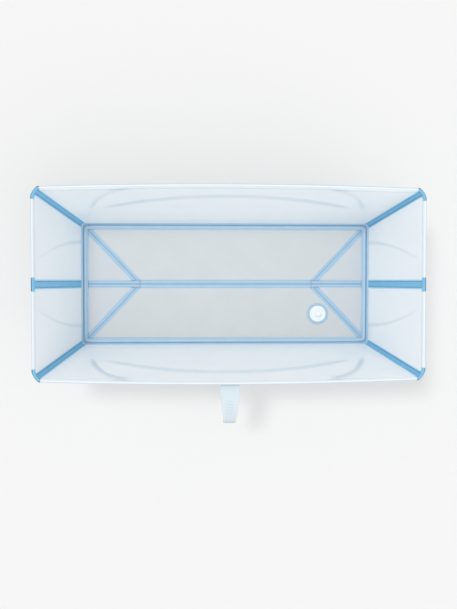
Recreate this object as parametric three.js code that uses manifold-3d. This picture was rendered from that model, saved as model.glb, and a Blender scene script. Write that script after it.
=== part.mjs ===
// Foldable baby bathtub: stiff moulded panels joined by soft rubber hinge strips.
// Millimetres, +Z up. The origin is on the ground under the middle of the floor.
// +X runs to the right end, +Y to the rear side, and the closure strap hangs at the front.
import * as THREE from 'three';
import { mergeVertices } from 'three/addons/utils/BufferGeometryUtils.js';
import Module from 'manifold-3d';

const wasm = await Module();
wasm.setup();

// Overall sizes
const floorLength = 684;
const floorWidth = 285;
const rimLength = 835;
const rimWidth = 412;
const sideBow = 7.5;
const tubHeight = 245;

// Sheet thicknesses and gaps
const wallThickness = 2.2;
const floorThickness = 2.2;
const seatGap = 0.3;

// Rim: a lip turned over outwards
const rimReach = 5;
const rimDrop = 8;
const rimWall = 2;
const rimRound = 2.2;

// Hinge strips
const cornerRadius = 10;
const cornerReach = 11;
const cornerCapReachX = 13.8;
const cornerCapReachY = 22.9;
const cornerCapRadiusX = 12;
const cornerCapRadiusY = 19;
const bootInnerRadius = 0.8;
const creaseHalfWidth = 9;
const creaseCapHalfWidth = 14.75;
const edgeStripReach = 12.5;
const edgeStripRise = 16;
const edgeStripFillet = 5;
const centreStripHalfWidth = 9.5;
const endCentreStripHalfWidth = 8;
const diagonalStripHalfWidth = 7.3;
const gussetLength = 135.8;
const panelCornerRadius = 5;
const stripCornerRadius = 2.5;

// Arched steps pressed in the walls
const sideArchStep = 2.5;
const endArchStep = 0.8;
const archBlend = 8;
const sideArchBelowRim = 57;
const sideArchDrop = 115;
const endArchFootHalfWidth = 99;
const endArchTopHalfWidth = 44;
const archFootFade = 34;
const archRimFade = 18;
const archEdgeFade = 45;

// Drain, set in from the foot of the front wall and from the right diagonal fold line
const drainFromWall = 70.5;
const drainFromFold = 52.8;
const drainSeatRadius = 26;
const drainSeatFlange = 1.8;
const drainHoleRadius = 20;
const drainBoreRadius = 16;
const plugFlangeRadius = 19.5;
const plugFlangeThickness = 2.4;
const plugBodyRadius = 13.8;
const plugDepth = 4.2;
const plugKnobRadius = 4.2;
const plugKnobHeight = 10;
const plugKnobTopRadius = 6.2;

// Closure strap, its keeper under the front rim and its catch at the rear
const strapBelowRim = 20;
const strapRootWidth = 42;
const strapTipWidth = 28;
const strapThickness = 3;
const strapBarRadius = 3;
const strapJournalRadius = 2;
const strapOutset = 7.5;
const strapRun = 93;
const strapSag = 50;
const strapSlotWidth = 14;
const strapSlotLength = 8;
const strapSlotFromTip = 15;
const strapTaperRate = 1.2;
const keeperPlateThickness = 2.5;
const keeperHalfHeight = 8;
const keeperEarWidth = 4;
const keeperEarHalfHeight = 4.5;
const catchBelowRim = 23;
const catchBaseRadius = 11;
const catchBaseThickness = 2.5;
const catchStemRadius = 4;
const catchStemLength = 6;
const catchHeadRadius = 6.5;
const catchHeadThickness = 3;

// How far a cutting shape runs past what it cuts
const cutOverrun = 4;

// Counts of steps along curves
const sideWallSteps = 20;
const sideEdgeSteps = 8;
const cornerSteps = 4;
const creaseSteps = 2;
const strapSteps = 18;
const strapAcross = 2;
const roundSteps = 32;
const sealSides = 8;
const outlineCurveSteps = 3;

// Shares: of the lip's reach kept at a crease, of the height of an end wall, of the way round
// a quarter turn at its middle, of a thickness taken by a chamfer, of a knob's height and width,
// of a corner cap's turn that is cut flatter than an ellipse, and of a gap inside which points
// are merged
const creaseLipShare = 0.5;
const endLevelShares = [0.25, 0.5, 0.75, 0.9];
const turnShare = 1 - Math.SQRT1_2;
const hollowShares = [0.15, 0.4];
const chamferShare = 1 / 3;
const knobHeightShares = [0.5, 0.7, 0.9];
const knobTopShare = 0.8;
const cornerCapFlatShare = 0.38;
const mergeShare = 0.003;

// The strap's hanging line, as shares of its run outwards and of its sag
const strapLineShares = [
  [0, 0], [0.06, 0.05], [0.24, 0.09], [0.5, 0.03], [0.74, -0.2], [0.91, -0.56], [1, -1],
];

// Worked out from the sizes above
const halfLength = floorLength / 2;
const halfWidth = floorWidth / 2;
const flareX = rimLength / 2 - rimReach - wallThickness - halfLength;
const flareY = rimWidth / 2 - rimReach - wallThickness - halfWidth;
const wallFoot = floorThickness + edgeStripRise;
const bandTop = tubHeight - rimDrop - rimRound;
const capFoot = tubHeight - 2 * rimRound;
const sideArchPeak = tubHeight - sideArchBelowRim;
const bootReach = wallThickness + edgeStripReach + bootInnerRadius + seatGap;
const gussetX = halfLength - gussetLength;
const diagonalSpan = Math.hypot(gussetLength, halfWidth);
const mergeTolerance = seatGap * mergeShare;

// Finishes
const wallPlastic = { color: 0xdceaf4, roughness: 0.28, metalness: 0 };
const floorPlastic = { color: 0xd2dade, roughness: 0.45, metalness: 0 };
const gussetPlastic = { color: 0xd4dcf2, roughness: 0.4, metalness: 0 };
const hingeRubber = { color: 0x5ba2ce, roughness: 0.5, metalness: 0 };
const fittingPlastic = { color: 0xeef2f5, roughness: 0.35, metalness: 0 };
const strapRubber = { color: 0xd7e2eb, roughness: 0.45, metalness: 0 };

const tub = new THREE.Group();

function addPiece(name, geometry, finish, parent = tub) {
  const mesh = new THREE.Mesh(geometry, new THREE.MeshStandardMaterial(finish));
  mesh.name = name;
  parent.add(mesh);
  return mesh;
}

function smooth(share) {
  const t = Math.min(Math.max(share, 0), 1);
  return t * t * (3 - 2 * t);
}

function spread(from, to, share) {
  return from + (to - from) * share;
}

function middle(from, to) {
  return (from + to) / 2;
}

// Signed volume, positive when the faces point out
function signedVolume(points, faces) {
  let sum = 0;
  for (const [a, b, c] of faces) {
    sum += points[a].dot(points[b].clone().cross(points[c]));
  }
  return sum;
}

// A bent plate: each station is a list of [inner, outer] points across the thickness
function bentPlate(stations) {
  const rows = stations[0].length;
  const points = [];
  for (const station of stations) {
    points.push(...station.map(([inner]) => inner), ...station.map(([, outer]) => outer));
  }
  const at = (station, row, side) => station * rows * 2 + side * rows + row;
  const faces = [];
  const quad = (a, b, c, d) => faces.push([a, b, c], [a, c, d]);
  const last = stations.length - 1;
  for (let s = 0; s < last; s += 1) {
    for (let r = 0; r < rows - 1; r += 1) {
      quad(at(s, r, 0), at(s + 1, r, 0), at(s + 1, r + 1, 0), at(s, r + 1, 0));
      quad(at(s, r, 1), at(s, r + 1, 1), at(s + 1, r + 1, 1), at(s + 1, r, 1));
    }
    quad(at(s, 0, 1), at(s + 1, 0, 1), at(s + 1, 0, 0), at(s, 0, 0));
    quad(at(s, rows - 1, 0), at(s + 1, rows - 1, 0), at(s + 1, rows - 1, 1), at(s, rows - 1, 1));
  }
  for (let r = 0; r < rows - 1; r += 1) {
    quad(at(0, r, 0), at(0, r + 1, 0), at(0, r + 1, 1), at(0, r, 1));
    quad(at(last, r, 1), at(last, r + 1, 1), at(last, r + 1, 0), at(last, r, 0));
  }
  if (signedVolume(points, faces) < 0) faces.forEach((face) => face.reverse());
  const geometry = new THREE.BufferGeometry();
  const numbers = points.flatMap((point) => point.toArray());
  geometry.setAttribute('position', new THREE.Float32BufferAttribute(numbers, 3));
  geometry.setIndex(faces.flat());
  return geometry;
}

// Height on a wall as a share, 0 at the fold line and 1 at the rim
function heightShare(z) {
  return z / tubHeight;
}

// Profile points are [distance out from the wall's outer face, height], inside then outside.
// A floor point isn't moved by the flare of the wall.
function pair(innerOut, innerHeight, outerOut, outerHeight, kind) {
  return { inner: [innerOut, innerHeight], outer: [outerOut, outerHeight], kind };
}

function wallPair(z) {
  return pair(-wallThickness, z, 0, z, 'wall');
}

// The turned-over rim: up the inside, over the top and down the lip
function rimPairs() {
  const hollow = rimReach - rimWall;
  const roof = tubHeight - rimWall;
  const turn = rimRound * turnShare;
  const [low, high] = hollowShares;
  const step = (innerOut, innerDrop, outerShare, roofDrop) =>
    pair(innerOut, tubHeight - innerDrop, hollow * outerShare, roof - roofDrop, 'rim');
  return [
    wallPair(bandTop),
    pair(-wallThickness, capFoot, 0, capFoot, 'rim'),
    step(-wallThickness, rimRound, 0, rimRound / 2),
    step(-wallThickness + turn, turn, low, turn / 2),
    step(-wallThickness + rimRound, 0, high, 0),
    step(rimReach - rimRound, 0, 1 - high, 0),
    step(rimReach - turn, turn, 1 - low, turn / 2),
    step(rimReach, rimRound, 1, rimRound / 2),
    pair(rimReach, tubHeight - rimDrop, hollow, tubHeight - rimDrop, 'rim'),
  ];
}

// The strip that turns from the floor up to the foot of the wall
function footPairs() {
  const turn = edgeStripFillet * turnShare;
  const start = -wallThickness - edgeStripReach;
  const fillet = -wallThickness - edgeStripFillet;
  const top = wallFoot - seatGap / 2;
  return [
    pair(start, floorThickness, start, 0, 'floor'),
    pair(fillet, floorThickness, -edgeStripFillet, 0, 'floor'),
    pair(-wallThickness - turn, floorThickness + turn, -turn, turn, 'floor'),
    pair(-wallThickness, floorThickness + edgeStripFillet, 0, edgeStripFillet, 'wall'),
    pair(-wallThickness, top, 0, top, 'wall'),
  ];
}

function outwardX([out, z], kind) {
  const flare = kind === 'floor' ? 0 : flareX * heightShare(z);
  return halfLength + wallThickness + flare + out;
}

function outwardY([out, z], kind) {
  const flare = kind === 'floor' ? 0 : flareY * heightShare(z);
  return halfWidth + wallThickness + flare + out;
}

// The arched steps of the walls: pressed in on the sides, out on the ends
function sideArch(s) {
  return sideArchPeak - sideArchDrop * s ** 2;
}

function endArch(z) {
  return spread(endArchFootHalfWidth, endArchTopHalfWidth, heightShare(z) ** 2);
}

function sidePressing(s, z) {
  const below = smooth((sideArch(s) + archBlend / 2 - z) / archBlend);
  const foot = smooth((z - wallFoot) / archFootFade);
  const fromEnd = (1 - Math.abs(s)) * (rimLength / 2);
  return -sideArchStep * below * foot * smooth(fromEnd / archEdgeFade);
}

function endPressing(y, z) {
  const within = smooth((endArch(z) + archBlend / 2 - y) / archBlend);
  const foot = smooth((z - wallFoot) / archFootFade);
  const rim = smooth((bandTop - z) / archRimFade);
  return endArchStep * within * foot * rim;
}

// One station across a side wall, s from -1 at the left corner to 1 at the right
function sideStation(pairs, s, side, reach) {
  const place = (point, kind) => {
    const z = point[1];
    const drawn = kind === 'rim' ? cornerCapReachX : reach;
    const x = s * (outwardX([0, z], kind) - drawn - seatGap / 2);
    const bow = kind === 'floor' ? 0 : sideBow * (1 - s ** 2) * heightShare(z);
    const pressing = kind === 'wall' ? sidePressing(s, z) : 0;
    return new THREE.Vector3(x, side * (outwardY(point, kind) + bow + pressing), z);
  };
  return pairs.map((p) => [place(p.inner, p.kind), place(p.outer, p.kind)]);
}

// One station across an end wall, where across gives the distance from the crease at a height.
// The rim's lip is drawn in by lipShare, which lets the two halves fold past each other.
function endStation(pairs, across, end, side, lipShare = 1) {
  const place = ([out, z], kind) => {
    const y = across(z, kind);
    const pressing = kind === 'wall' ? endPressing(Math.abs(y), z) : 0;
    const drawn = out > 0 ? out * lipShare : out;
    return new THREE.Vector3(end * (outwardX([drawn, z], kind) + pressing), side * y, z);
  };
  return pairs.map((p) => [place(p.inner, p.kind), place(p.outer, p.kind)]);
}

const sideNames = new Map([[-1, 'front'], [1, 'rear']]);
const endNames = new Map([[-1, 'left'], [1, 'right']]);
const sides = [...sideNames.keys()];
const ends = [...endNames.keys()];

function sideWall(side) {
  const foot = wallFoot + seatGap / 2;
  const fade = foot + archFootFade;
  const stations = [];
  for (let i = 0; i <= sideWallSteps; i += 1) {
    const s = spread(-1, 1, i / sideWallSteps);
    const low = sideArch(s) - archBlend / 2;
    const high = sideArch(s) + archBlend / 2;
    const levels = [
      foot, middle(foot, fade), fade, middle(fade, low), low, sideArch(s), high, middle(high, bandTop),
    ];
    stations.push(sideStation([...levels.map(wallPair), ...rimPairs()], s, side, cornerReach));
  }
  return bentPlate(stations);
}

// Levels up an end wall, below its rim
function endLevels() {
  const foot = wallFoot + seatGap / 2;
  const fade = foot + archFootFade;
  return [foot, middle(foot, fade), fade, ...endLevelShares.map((share) => spread(fade, bandTop, share))];
}

function endPanel(end, side) {
  const pairs = [...endLevels().map(wallPair), ...rimPairs()];
  const crease = (z, kind) => (kind === 'rim' ? creaseCapHalfWidth : creaseHalfWidth) + seatGap / 2;
  const corner = (z, kind) =>
    outwardY([0, z], kind) - (kind === 'rim' ? cornerCapReachY : cornerReach) - seatGap / 2;
  const inner = (z) => endArch(z) - archBlend / 2;
  const outer = (z) => endArch(z) + archBlend / 2;
  const columns = [
    crease,
    (z, kind) => middle(crease(z, kind), inner(z)),
    inner,
    endArch,
    outer,
    (z, kind) => middle(outer(z), corner(z, kind)),
    corner,
  ];
  const share = (across) => (across === crease ? creaseLipShare : 1);
  return bentPlate(columns.map((across) => endStation(pairs, across, end, side, share(across))));
}

// A corner strip with its boot at the floor and its cap over the rim. Its stations run from the
// end wall round the corner to the side wall. The corner is round, and flatter at the cap.
function cornerStrip(end, side) {
  const boot = footPairs().map((p) => ({ ...p, reachX: bootReach, reachY: bootReach }));
  const rest = [wallPair(wallFoot + seatGap / 2), ...rimPairs()].map((p) => ({
    ...p,
    reachX: p.kind === 'rim' ? cornerCapReachX : cornerReach,
    reachY: p.kind === 'rim' ? cornerCapReachY : cornerReach,
  }));
  const place = ([out, z], { kind, reachX, reachY }, turn) => {
    let x = outwardX([out, z], kind);
    let y = outwardY([out, z], kind);
    if (turn === 'end') {
      y = outwardY([0, z], kind) - reachY + seatGap / 2;
    } else if (turn === 'side') {
      x = outwardX([0, z], kind) - reachX + seatGap / 2;
    } else if (kind === 'rim') {
      const power = 1 + cornerCapFlatShare;
      x -= (cornerCapRadiusX + out) * (1 - Math.cos(turn) ** power);
      y -= (cornerCapRadiusY + out) * (1 - Math.sin(turn) ** power);
    } else {
      const radius = Math.max(cornerRadius + out, bootInnerRadius);
      x -= radius * (1 - Math.cos(turn));
      y -= radius * (1 - Math.sin(turn));
    }
    return new THREE.Vector3(end * x, side * y, z);
  };
  const turns = ['end'];
  for (let i = 0; i <= cornerSteps; i += 1) {
    turns.push((i / cornerSteps) * (Math.PI / 2));
  }
  turns.push('side');
  return bentPlate(turns.map((turn) =>
    [...boot, ...rest].map((p) => [place(p.inner, p, turn), place(p.outer, p, turn)])));
}

function creaseStrip(end) {
  const pairs = [...endLevels().map(wallPair), ...rimPairs()];
  const half = (z, kind) => (kind === 'rim' ? creaseCapHalfWidth : creaseHalfWidth) - seatGap / 2;
  const stations = [];
  for (let i = 0; i <= creaseSteps; i += 1) {
    const share = spread(-1, 1, i / creaseSteps);
    stations.push(endStation(pairs, (z, kind) => share * half(z, kind), end, 1));
  }
  return bentPlate(stations);
}

function sideEdgeStrip(side) {
  const stations = [];
  for (let i = 0; i <= sideEdgeSteps; i += 1) {
    stations.push(sideStation(footPairs(), spread(-1, 1, i / sideEdgeSteps), side, bootReach));
  }
  return bentPlate(stations);
}

function endEdgeStrip(end, side) {
  const crease = () => seatGap / 2;
  const corner = (z, kind) => outwardY([0, z], kind) - bootReach - seatGap / 2;
  return bentPlate([crease, corner].map((across) => endStation(footPairs(), across, end, side)));
}

// Floor pieces are flat outlines with rounded corners, in the quarter where x and y are positive
function roundedOutline(points, radius) {
  const shape = new THREE.Shape();
  points.forEach((point, i) => {
    const before = points[(i + points.length - 1) % points.length];
    const after = points[(i + 1) % points.length];
    const start = point.clone().add(before.clone().sub(point).setLength(radius));
    const stop = point.clone().add(after.clone().sub(point).setLength(radius));
    if (i === 0) shape.moveTo(start.x, start.y);
    else shape.lineTo(start.x, start.y);
    shape.quadraticCurveTo(point.x, point.y, stop.x, stop.y);
  });
  shape.closePath();
  return shape;
}

function floorSlab(points, radius, holes = []) {
  const shape = roundedOutline(points, radius);
  shape.holes.push(...holes);
  const options = { depth: floorThickness, bevelEnabled: false, curveSegments: outlineCurveSteps };
  return new THREE.ExtrudeGeometry(shape, options);
}

// Turns a list of points about the middle so that it lies in another quarter, still anticlockwise
function inQuarter(points, end, side) {
  const placed = points.map((p) => new THREE.Vector2(end * p.x, side * p.y));
  return end * side < 0 ? placed.reverse() : placed;
}

// The diagonal fold line, moved sideways: positive is towards the gusset. The first gives x
// at a given y, and the second gives y at a given x.
function diagonalAt(y, offset) {
  return halfLength - ((halfWidth - y) * gussetLength - offset * diagonalSpan) / halfWidth;
}

function diagonalCross(x, offset) {
  return halfWidth - ((halfLength - x) * halfWidth + offset * diagonalSpan) / gussetLength;
}

function floorPanel(side, holes) {
  const edge = halfWidth - edgeStripReach - seatGap;
  const centre = centreStripHalfWidth + seatGap;
  const offset = -(diagonalStripHalfWidth + seatGap);
  const points = [
    new THREE.Vector2(diagonalAt(centre, offset), centre),
    new THREE.Vector2(diagonalAt(edge, offset), edge),
    new THREE.Vector2(-diagonalAt(edge, offset), edge),
    new THREE.Vector2(-diagonalAt(centre, offset), centre),
  ];
  return floorSlab(inQuarter(points, 1, side), panelCornerRadius, holes);
}

function floorGusset(end, side) {
  const edge = halfLength - edgeStripReach - seatGap;
  const centre = endCentreStripHalfWidth + seatGap;
  const offset = diagonalStripHalfWidth + seatGap;
  const points = [
    new THREE.Vector2(diagonalAt(centre, offset), centre),
    new THREE.Vector2(edge, centre),
    new THREE.Vector2(edge, diagonalCross(edge, offset)),
  ];
  return floorSlab(inQuarter(points, end, side), panelCornerRadius);
}

function diagonalStrip(end, side) {
  const edgeX = halfLength - edgeStripReach - seatGap;
  const edgeY = halfWidth - edgeStripReach - seatGap;
  const near = centreStripHalfWidth + seatGap;
  const far = endCentreStripHalfWidth + seatGap;
  const half = diagonalStripHalfWidth;
  const points = [
    new THREE.Vector2(diagonalAt(near, -half), near),
    new THREE.Vector2(diagonalAt(far, half), far),
    new THREE.Vector2(edgeX, diagonalCross(edgeX, half)),
    new THREE.Vector2(edgeX, edgeY),
    new THREE.Vector2(diagonalAt(edgeY, -half), edgeY),
  ];
  return floorSlab(inQuarter(points, end, side), stripCornerRadius);
}

function centreStrip() {
  const half = centreStripHalfWidth;
  const end = gussetX - seatGap / 2;
  const corners = [[-end, -half], [end, -half], [end, half], [-end, half]];
  return floorSlab(corners.map(([x, y]) => new THREE.Vector2(x, y)), stripCornerRadius);
}

function endCentreStrip(end) {
  const half = endCentreStripHalfWidth;
  const near = gussetX + seatGap / 2;
  const far = halfLength - edgeStripReach - seatGap;
  const corners = [[near, -half], [far, -half], [far, half], [near, half]];
  return floorSlab(inQuarter(corners.map(([x, y]) => new THREE.Vector2(x, y)), end, 1), stripCornerRadius);
}

// A turned shape from a profile of [radius, height] points
function turned(profile) {
  const points = profile.map(([radius, z]) => new THREE.Vector2(radius, z));
  return new THREE.LatheGeometry(points, roundSteps).rotateX(Math.PI / 2);
}

// Merges the shared points of a geometry and turns its faces outwards
function closed(geometry) {
  const bare = geometry.clone();
  bare.deleteAttribute('normal');
  bare.deleteAttribute('uv');
  const merged = mergeVertices(bare, mergeTolerance);
  const position = merged.attributes.position;
  const points = [];
  for (let i = 0; i < position.count; i += 1) {
    points.push(new THREE.Vector3().fromBufferAttribute(position, i));
  }
  const faces = [];
  const index = merged.index.array;
  for (let i = 0; i < index.length; i += 3) {
    const face = [...index.slice(i, i + 3)];
    if (new Set(face).size === 3) faces.push(face);
  }
  if (signedVolume(points, faces) < 0) faces.forEach((face) => face.reverse());
  merged.setIndex(faces.flat());
  return merged;
}

function toSolid(geometry) {
  const ready = closed(geometry);
  const mesh = new wasm.Mesh({
    numProp: 3,
    vertProperties: new Float32Array(ready.attributes.position.array),
    triVerts: new Uint32Array(ready.index.array),
  });
  return new wasm.Manifold(mesh);
}

function fromSolid(solid) {
  const mesh = solid.getMesh();
  const geometry = new THREE.BufferGeometry();
  geometry.setAttribute('position', new THREE.Float32BufferAttribute(mesh.vertProperties, 3));
  geometry.setIndex(Array.from(mesh.triVerts));
  return geometry;
}

// A bar or disc along X
function barAlongX(radius, length, x, y) {
  const bar = new THREE.CylinderGeometry(radius, radius, length, roundSteps).rotateZ(Math.PI / 2);
  return bar.translate(x, y, 0);
}

// Drain: a seat pressed in the floor, a stopper and its seal
const seatTop = floorThickness + seatGap + drainSeatFlange;

function drainSeat() {
  const chamfer = drainSeatFlange * chamferShare;
  const sleeve = drainHoleRadius - seatGap;
  return turned([
    [drainBoreRadius, 0],
    [sleeve, 0],
    [sleeve, floorThickness + seatGap],
    [drainSeatRadius, floorThickness + seatGap],
    [drainSeatRadius, seatTop - chamfer],
    [drainSeatRadius - chamfer, seatTop],
    [drainBoreRadius + chamfer, seatTop],
    [drainBoreRadius, seatTop - chamfer],
    [drainBoreRadius, 0],
  ]);
}

function drainPlug() {
  const base = seatTop + seatGap;
  const foot = base - plugDepth;
  const top = base + plugFlangeThickness;
  const chamfer = plugFlangeThickness * chamferShare;
  const knobTop = top + plugKnobHeight;
  const [neck, swell, shoulder] = knobHeightShares.map((share) => spread(top, knobTop, share));
  return turned([
    [0, foot],
    [plugBodyRadius - chamfer, foot],
    [plugBodyRadius, foot + chamfer],
    [plugBodyRadius, base],
    [plugFlangeRadius, base],
    [plugFlangeRadius, top - chamfer],
    [plugFlangeRadius - chamfer, top],
    [plugKnobRadius, top],
    [plugKnobRadius, neck],
    [plugKnobTopRadius, swell],
    [plugKnobTopRadius, shoulder],
    [plugKnobTopRadius * knobTopShare, knobTop],
    [0, knobTop],
  ]);
}

// The seal fills the space between the plug's body and the bore, halfway up
function plugSeal() {
  const section = (drainBoreRadius - plugBodyRadius) / 2 - seatGap;
  const ring = middle(plugBodyRadius, drainBoreRadius);
  return new THREE.TorusGeometry(ring, section, sealSides, roundSteps).translate(0, 0, seatTop / 2);
}

// Strap keeper: a plate on the front wall with two ears that hold the strap's root bar
function strapKeeper() {
  const earX = strapRootWidth / 2 + seatGap + keeperEarWidth / 2;
  const width = 2 * earX + keeperEarWidth;
  const plateY = -seatGap - keeperPlateThickness / 2;
  const reach = strapOutset + plateY;
  const plate = new THREE.BoxGeometry(width, keeperPlateThickness, 2 * keeperHalfHeight);
  let solid = toSolid(plate.translate(0, plateY, 0));
  for (const end of ends) {
    const ear = new THREE.BoxGeometry(keeperEarWidth, reach, 2 * keeperEarHalfHeight);
    solid = solid.add(toSolid(ear.translate(end * earX, plateY - reach / 2, 0)));
    solid = solid.add(toSolid(barAlongX(keeperEarHalfHeight, keeperEarWidth, end * earX, -strapOutset)));
  }
  const hole = barAlongX(strapJournalRadius + seatGap, width + 2 * cutOverrun, 0, -strapOutset);
  return fromSolid(solid.subtract(toSolid(hole)));
}

function strapLine() {
  const points = strapLineShares.map(([run, rise]) => new THREE.Vector2(-strapRun * run, strapSag * rise));
  return new THREE.SplineCurve(points).getSpacedPoints(strapSteps);
}

// The band is a bent plate that narrows from root to tip, with a slot near the tip
function closureStrap() {
  const line = strapLine();
  const half = strapThickness / 2;
  const stations = [];
  for (let i = 0; i <= strapAcross; i += 1) {
    const across = spread(-1, 1, i / strapAcross);
    stations.push(line.map((point, k) => {
      const before = line[Math.max(k - 1, 0)];
      const after = line[Math.min(k + 1, strapSteps)];
      const along = after.clone().sub(before).normalize();
      const narrowed = smooth((k / strapSteps) * strapTaperRate);
      const x = (across * spread(strapRootWidth, strapTipWidth, narrowed)) / 2;
      const inner = new THREE.Vector3(x, point.x - along.y * half, point.y + along.x * half);
      const outer = new THREE.Vector3(x, point.x + along.y * half, point.y - along.x * half);
      return [inner, outer];
    }));
  }
  const journalLength = strapRootWidth + 2 * (seatGap + keeperEarWidth);
  let solid = toSolid(bentPlate(stations));
  solid = solid.add(toSolid(barAlongX(strapBarRadius, strapRootWidth, 0, 0)));
  solid = solid.add(toSolid(barAlongX(strapJournalRadius, journalLength, 0, 0)));
  const tip = line[strapSteps];
  const along = tip.clone().sub(line[strapSteps - 1]).normalize();
  const centre = tip.clone().addScaledVector(along, -strapSlotFromTip);
  const slot = new THREE.BoxGeometry(strapSlotWidth, strapSlotLength, strapThickness + 2 * cutOverrun);
  slot.rotateX(Math.atan2(along.y, along.x)).translate(0, centre.x, centre.y);
  return fromSolid(solid.subtract(toSolid(slot)));
}

function strapCatch() {
  const stemTop = catchBaseThickness + catchStemLength;
  const headTop = stemTop + catchHeadThickness;
  const chamfer = catchHeadThickness * chamferShare;
  return turned([
    [0, seatGap],
    [catchBaseRadius, seatGap],
    [catchBaseRadius, catchBaseThickness - chamfer],
    [catchBaseRadius - chamfer, catchBaseThickness],
    [catchStemRadius, catchBaseThickness],
    [catchStemRadius, stemTop],
    [catchHeadRadius, stemTop + chamfer],
    [catchHeadRadius, headTop - chamfer],
    [catchHeadRadius - chamfer, headTop],
    [0, headTop],
  ]).rotateX(-Math.PI / 2);
}

// A group on the outer face of a side wall, halfway along, turned to lie flat on it
function onSideWall(side, z) {
  const group = new THREE.Group();
  const out = outwardY([0, z], 'wall') + sideBow * heightShare(z) + sidePressing(0, z);
  group.position.set(0, side * out, z);
  group.rotation.x = -side * Math.atan2(flareY + sideBow, tubHeight);
  tub.add(group);
  return group;
}

// Assembly
for (const side of sides) {
  addPiece(`${sideNames.get(side)}_wall`, closed(sideWall(side)), wallPlastic);
  addPiece(`side_edge_strip_${sideNames.get(side)}`, closed(sideEdgeStrip(side)), hingeRubber);
}
for (const end of ends) {
  for (const side of sides) {
    const place = `${endNames.get(end)}_${sideNames.get(side)}`;
    addPiece(`end_panel_${place}`, closed(endPanel(end, side)), wallPlastic);
    addPiece(`corner_strip_${place}`, closed(cornerStrip(end, side)), hingeRubber);
    addPiece(`end_edge_strip_${place}`, closed(endEdgeStrip(end, side)), hingeRubber);
    addPiece(`floor_gusset_${place}`, closed(floorGusset(end, side)), gussetPlastic);
    addPiece(`diagonal_strip_${place}`, closed(diagonalStrip(end, side)), hingeRubber);
  }
  addPiece(`crease_strip_${endNames.get(end)}`, closed(creaseStrip(end)), hingeRubber);
  addPiece(`end_centre_strip_${endNames.get(end)}`, closed(endCentreStrip(end)), hingeRubber);
}
addPiece('floor_centre_strip', closed(centreStrip()), hingeRubber);

const drainY = drainFromWall - halfWidth;
const drainX = diagonalAt(-drainY, 0) - drainFromFold;
const drainCircle = new THREE.EllipseCurve(drainX, drainY, drainHoleRadius, drainHoleRadius);
const drainHole = new THREE.Path(drainCircle.getPoints(roundSteps).slice(1).reverse());
addPiece('floor_panel_front', closed(floorPanel(-1, [drainHole])), floorPlastic);
addPiece('floor_panel_rear', closed(floorPanel(1, [])), floorPlastic);

const drain = new THREE.Group();
drain.position.set(drainX, drainY, 0);
tub.add(drain);
addPiece('drain_seat', closed(drainSeat()), hingeRubber, drain);
addPiece('drain_plug', closed(drainPlug()), fittingPlastic, drain);
addPiece('plug_seal', closed(plugSeal()), hingeRubber, drain);

const strapSeat = onSideWall(-1, tubHeight - strapBelowRim);
addPiece('strap_keeper', strapKeeper(), fittingPlastic, strapSeat);
const strapRoot = new THREE.Group();
strapRoot.position.set(0, -strapOutset, 0);
strapRoot.rotation.x = -strapSeat.rotation.x;
strapSeat.add(strapRoot);
addPiece('closure_strap', closureStrap(), strapRubber, strapRoot);

const catchSeat = onSideWall(1, tubHeight - catchBelowRim);
addPiece('strap_catch', closed(strapCatch()), fittingPlastic, catchSeat);

export default tub;
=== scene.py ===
"""Looks of a foldable baby bathtub: stiff translucent panels joined by soft blue rubber strips.

Everything is in metres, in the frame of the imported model: +X to the right end, +Y to the rear
side, +Z up, with the origin on the ground under the middle of the floor.
"""

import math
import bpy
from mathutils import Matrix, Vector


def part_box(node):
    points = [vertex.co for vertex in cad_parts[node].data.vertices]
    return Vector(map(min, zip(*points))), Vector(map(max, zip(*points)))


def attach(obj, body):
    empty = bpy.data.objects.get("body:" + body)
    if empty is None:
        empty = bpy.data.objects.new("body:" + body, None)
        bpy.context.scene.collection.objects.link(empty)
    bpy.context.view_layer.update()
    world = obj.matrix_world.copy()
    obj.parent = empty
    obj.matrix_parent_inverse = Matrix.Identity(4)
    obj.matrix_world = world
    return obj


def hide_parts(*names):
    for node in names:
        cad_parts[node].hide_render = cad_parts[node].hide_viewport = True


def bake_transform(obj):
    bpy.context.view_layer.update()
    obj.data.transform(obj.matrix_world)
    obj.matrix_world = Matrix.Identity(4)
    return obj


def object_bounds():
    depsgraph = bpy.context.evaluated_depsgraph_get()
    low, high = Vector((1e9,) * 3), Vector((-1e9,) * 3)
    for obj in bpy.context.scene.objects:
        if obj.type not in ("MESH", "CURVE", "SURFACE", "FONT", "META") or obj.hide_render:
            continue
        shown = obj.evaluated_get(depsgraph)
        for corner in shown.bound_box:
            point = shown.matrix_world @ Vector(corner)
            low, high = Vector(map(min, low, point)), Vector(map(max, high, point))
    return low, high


bl_info = {
    "name": "Foldable baby bathtub",
    "version": (1, 0, 0),
    "blender": (4, 5, 0),
    "location": "View3D > Sidebar > Bathtub",
    "description": "Builds the panels, hinge strips, drain and strap of a folding bathtub",
    "category": "Object",
}

from typing import NamedTuple

import bmesh
import bpy
import numpy as np
from mathutils import Matrix, Vector
from mathutils.geometry import tessellate_polygon

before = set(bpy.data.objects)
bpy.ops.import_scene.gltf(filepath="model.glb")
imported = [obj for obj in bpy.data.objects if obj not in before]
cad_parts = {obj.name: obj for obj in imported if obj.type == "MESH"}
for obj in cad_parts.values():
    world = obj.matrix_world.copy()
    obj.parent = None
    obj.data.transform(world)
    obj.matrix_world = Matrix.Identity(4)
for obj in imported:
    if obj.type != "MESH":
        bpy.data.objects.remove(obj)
frame_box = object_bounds()

FRONT, REAR = -1, 1
LEFT, RIGHT = -1, 1
SIDE_NAMES = {FRONT: "front", REAR: "rear"}
END_NAMES = {LEFT: "left", RIGHT: "right"}
MERGE_DISTANCE = 1e-6
SHARP_ANGLE = math.radians(46)
MIDDLE_TONE = 0.5

# Which edges of a sheet are rounded: first and last station, first and last row
ALL_EDGES, ROW_EDGES = (True, True, True, True), (False, False, True, True)

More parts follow.
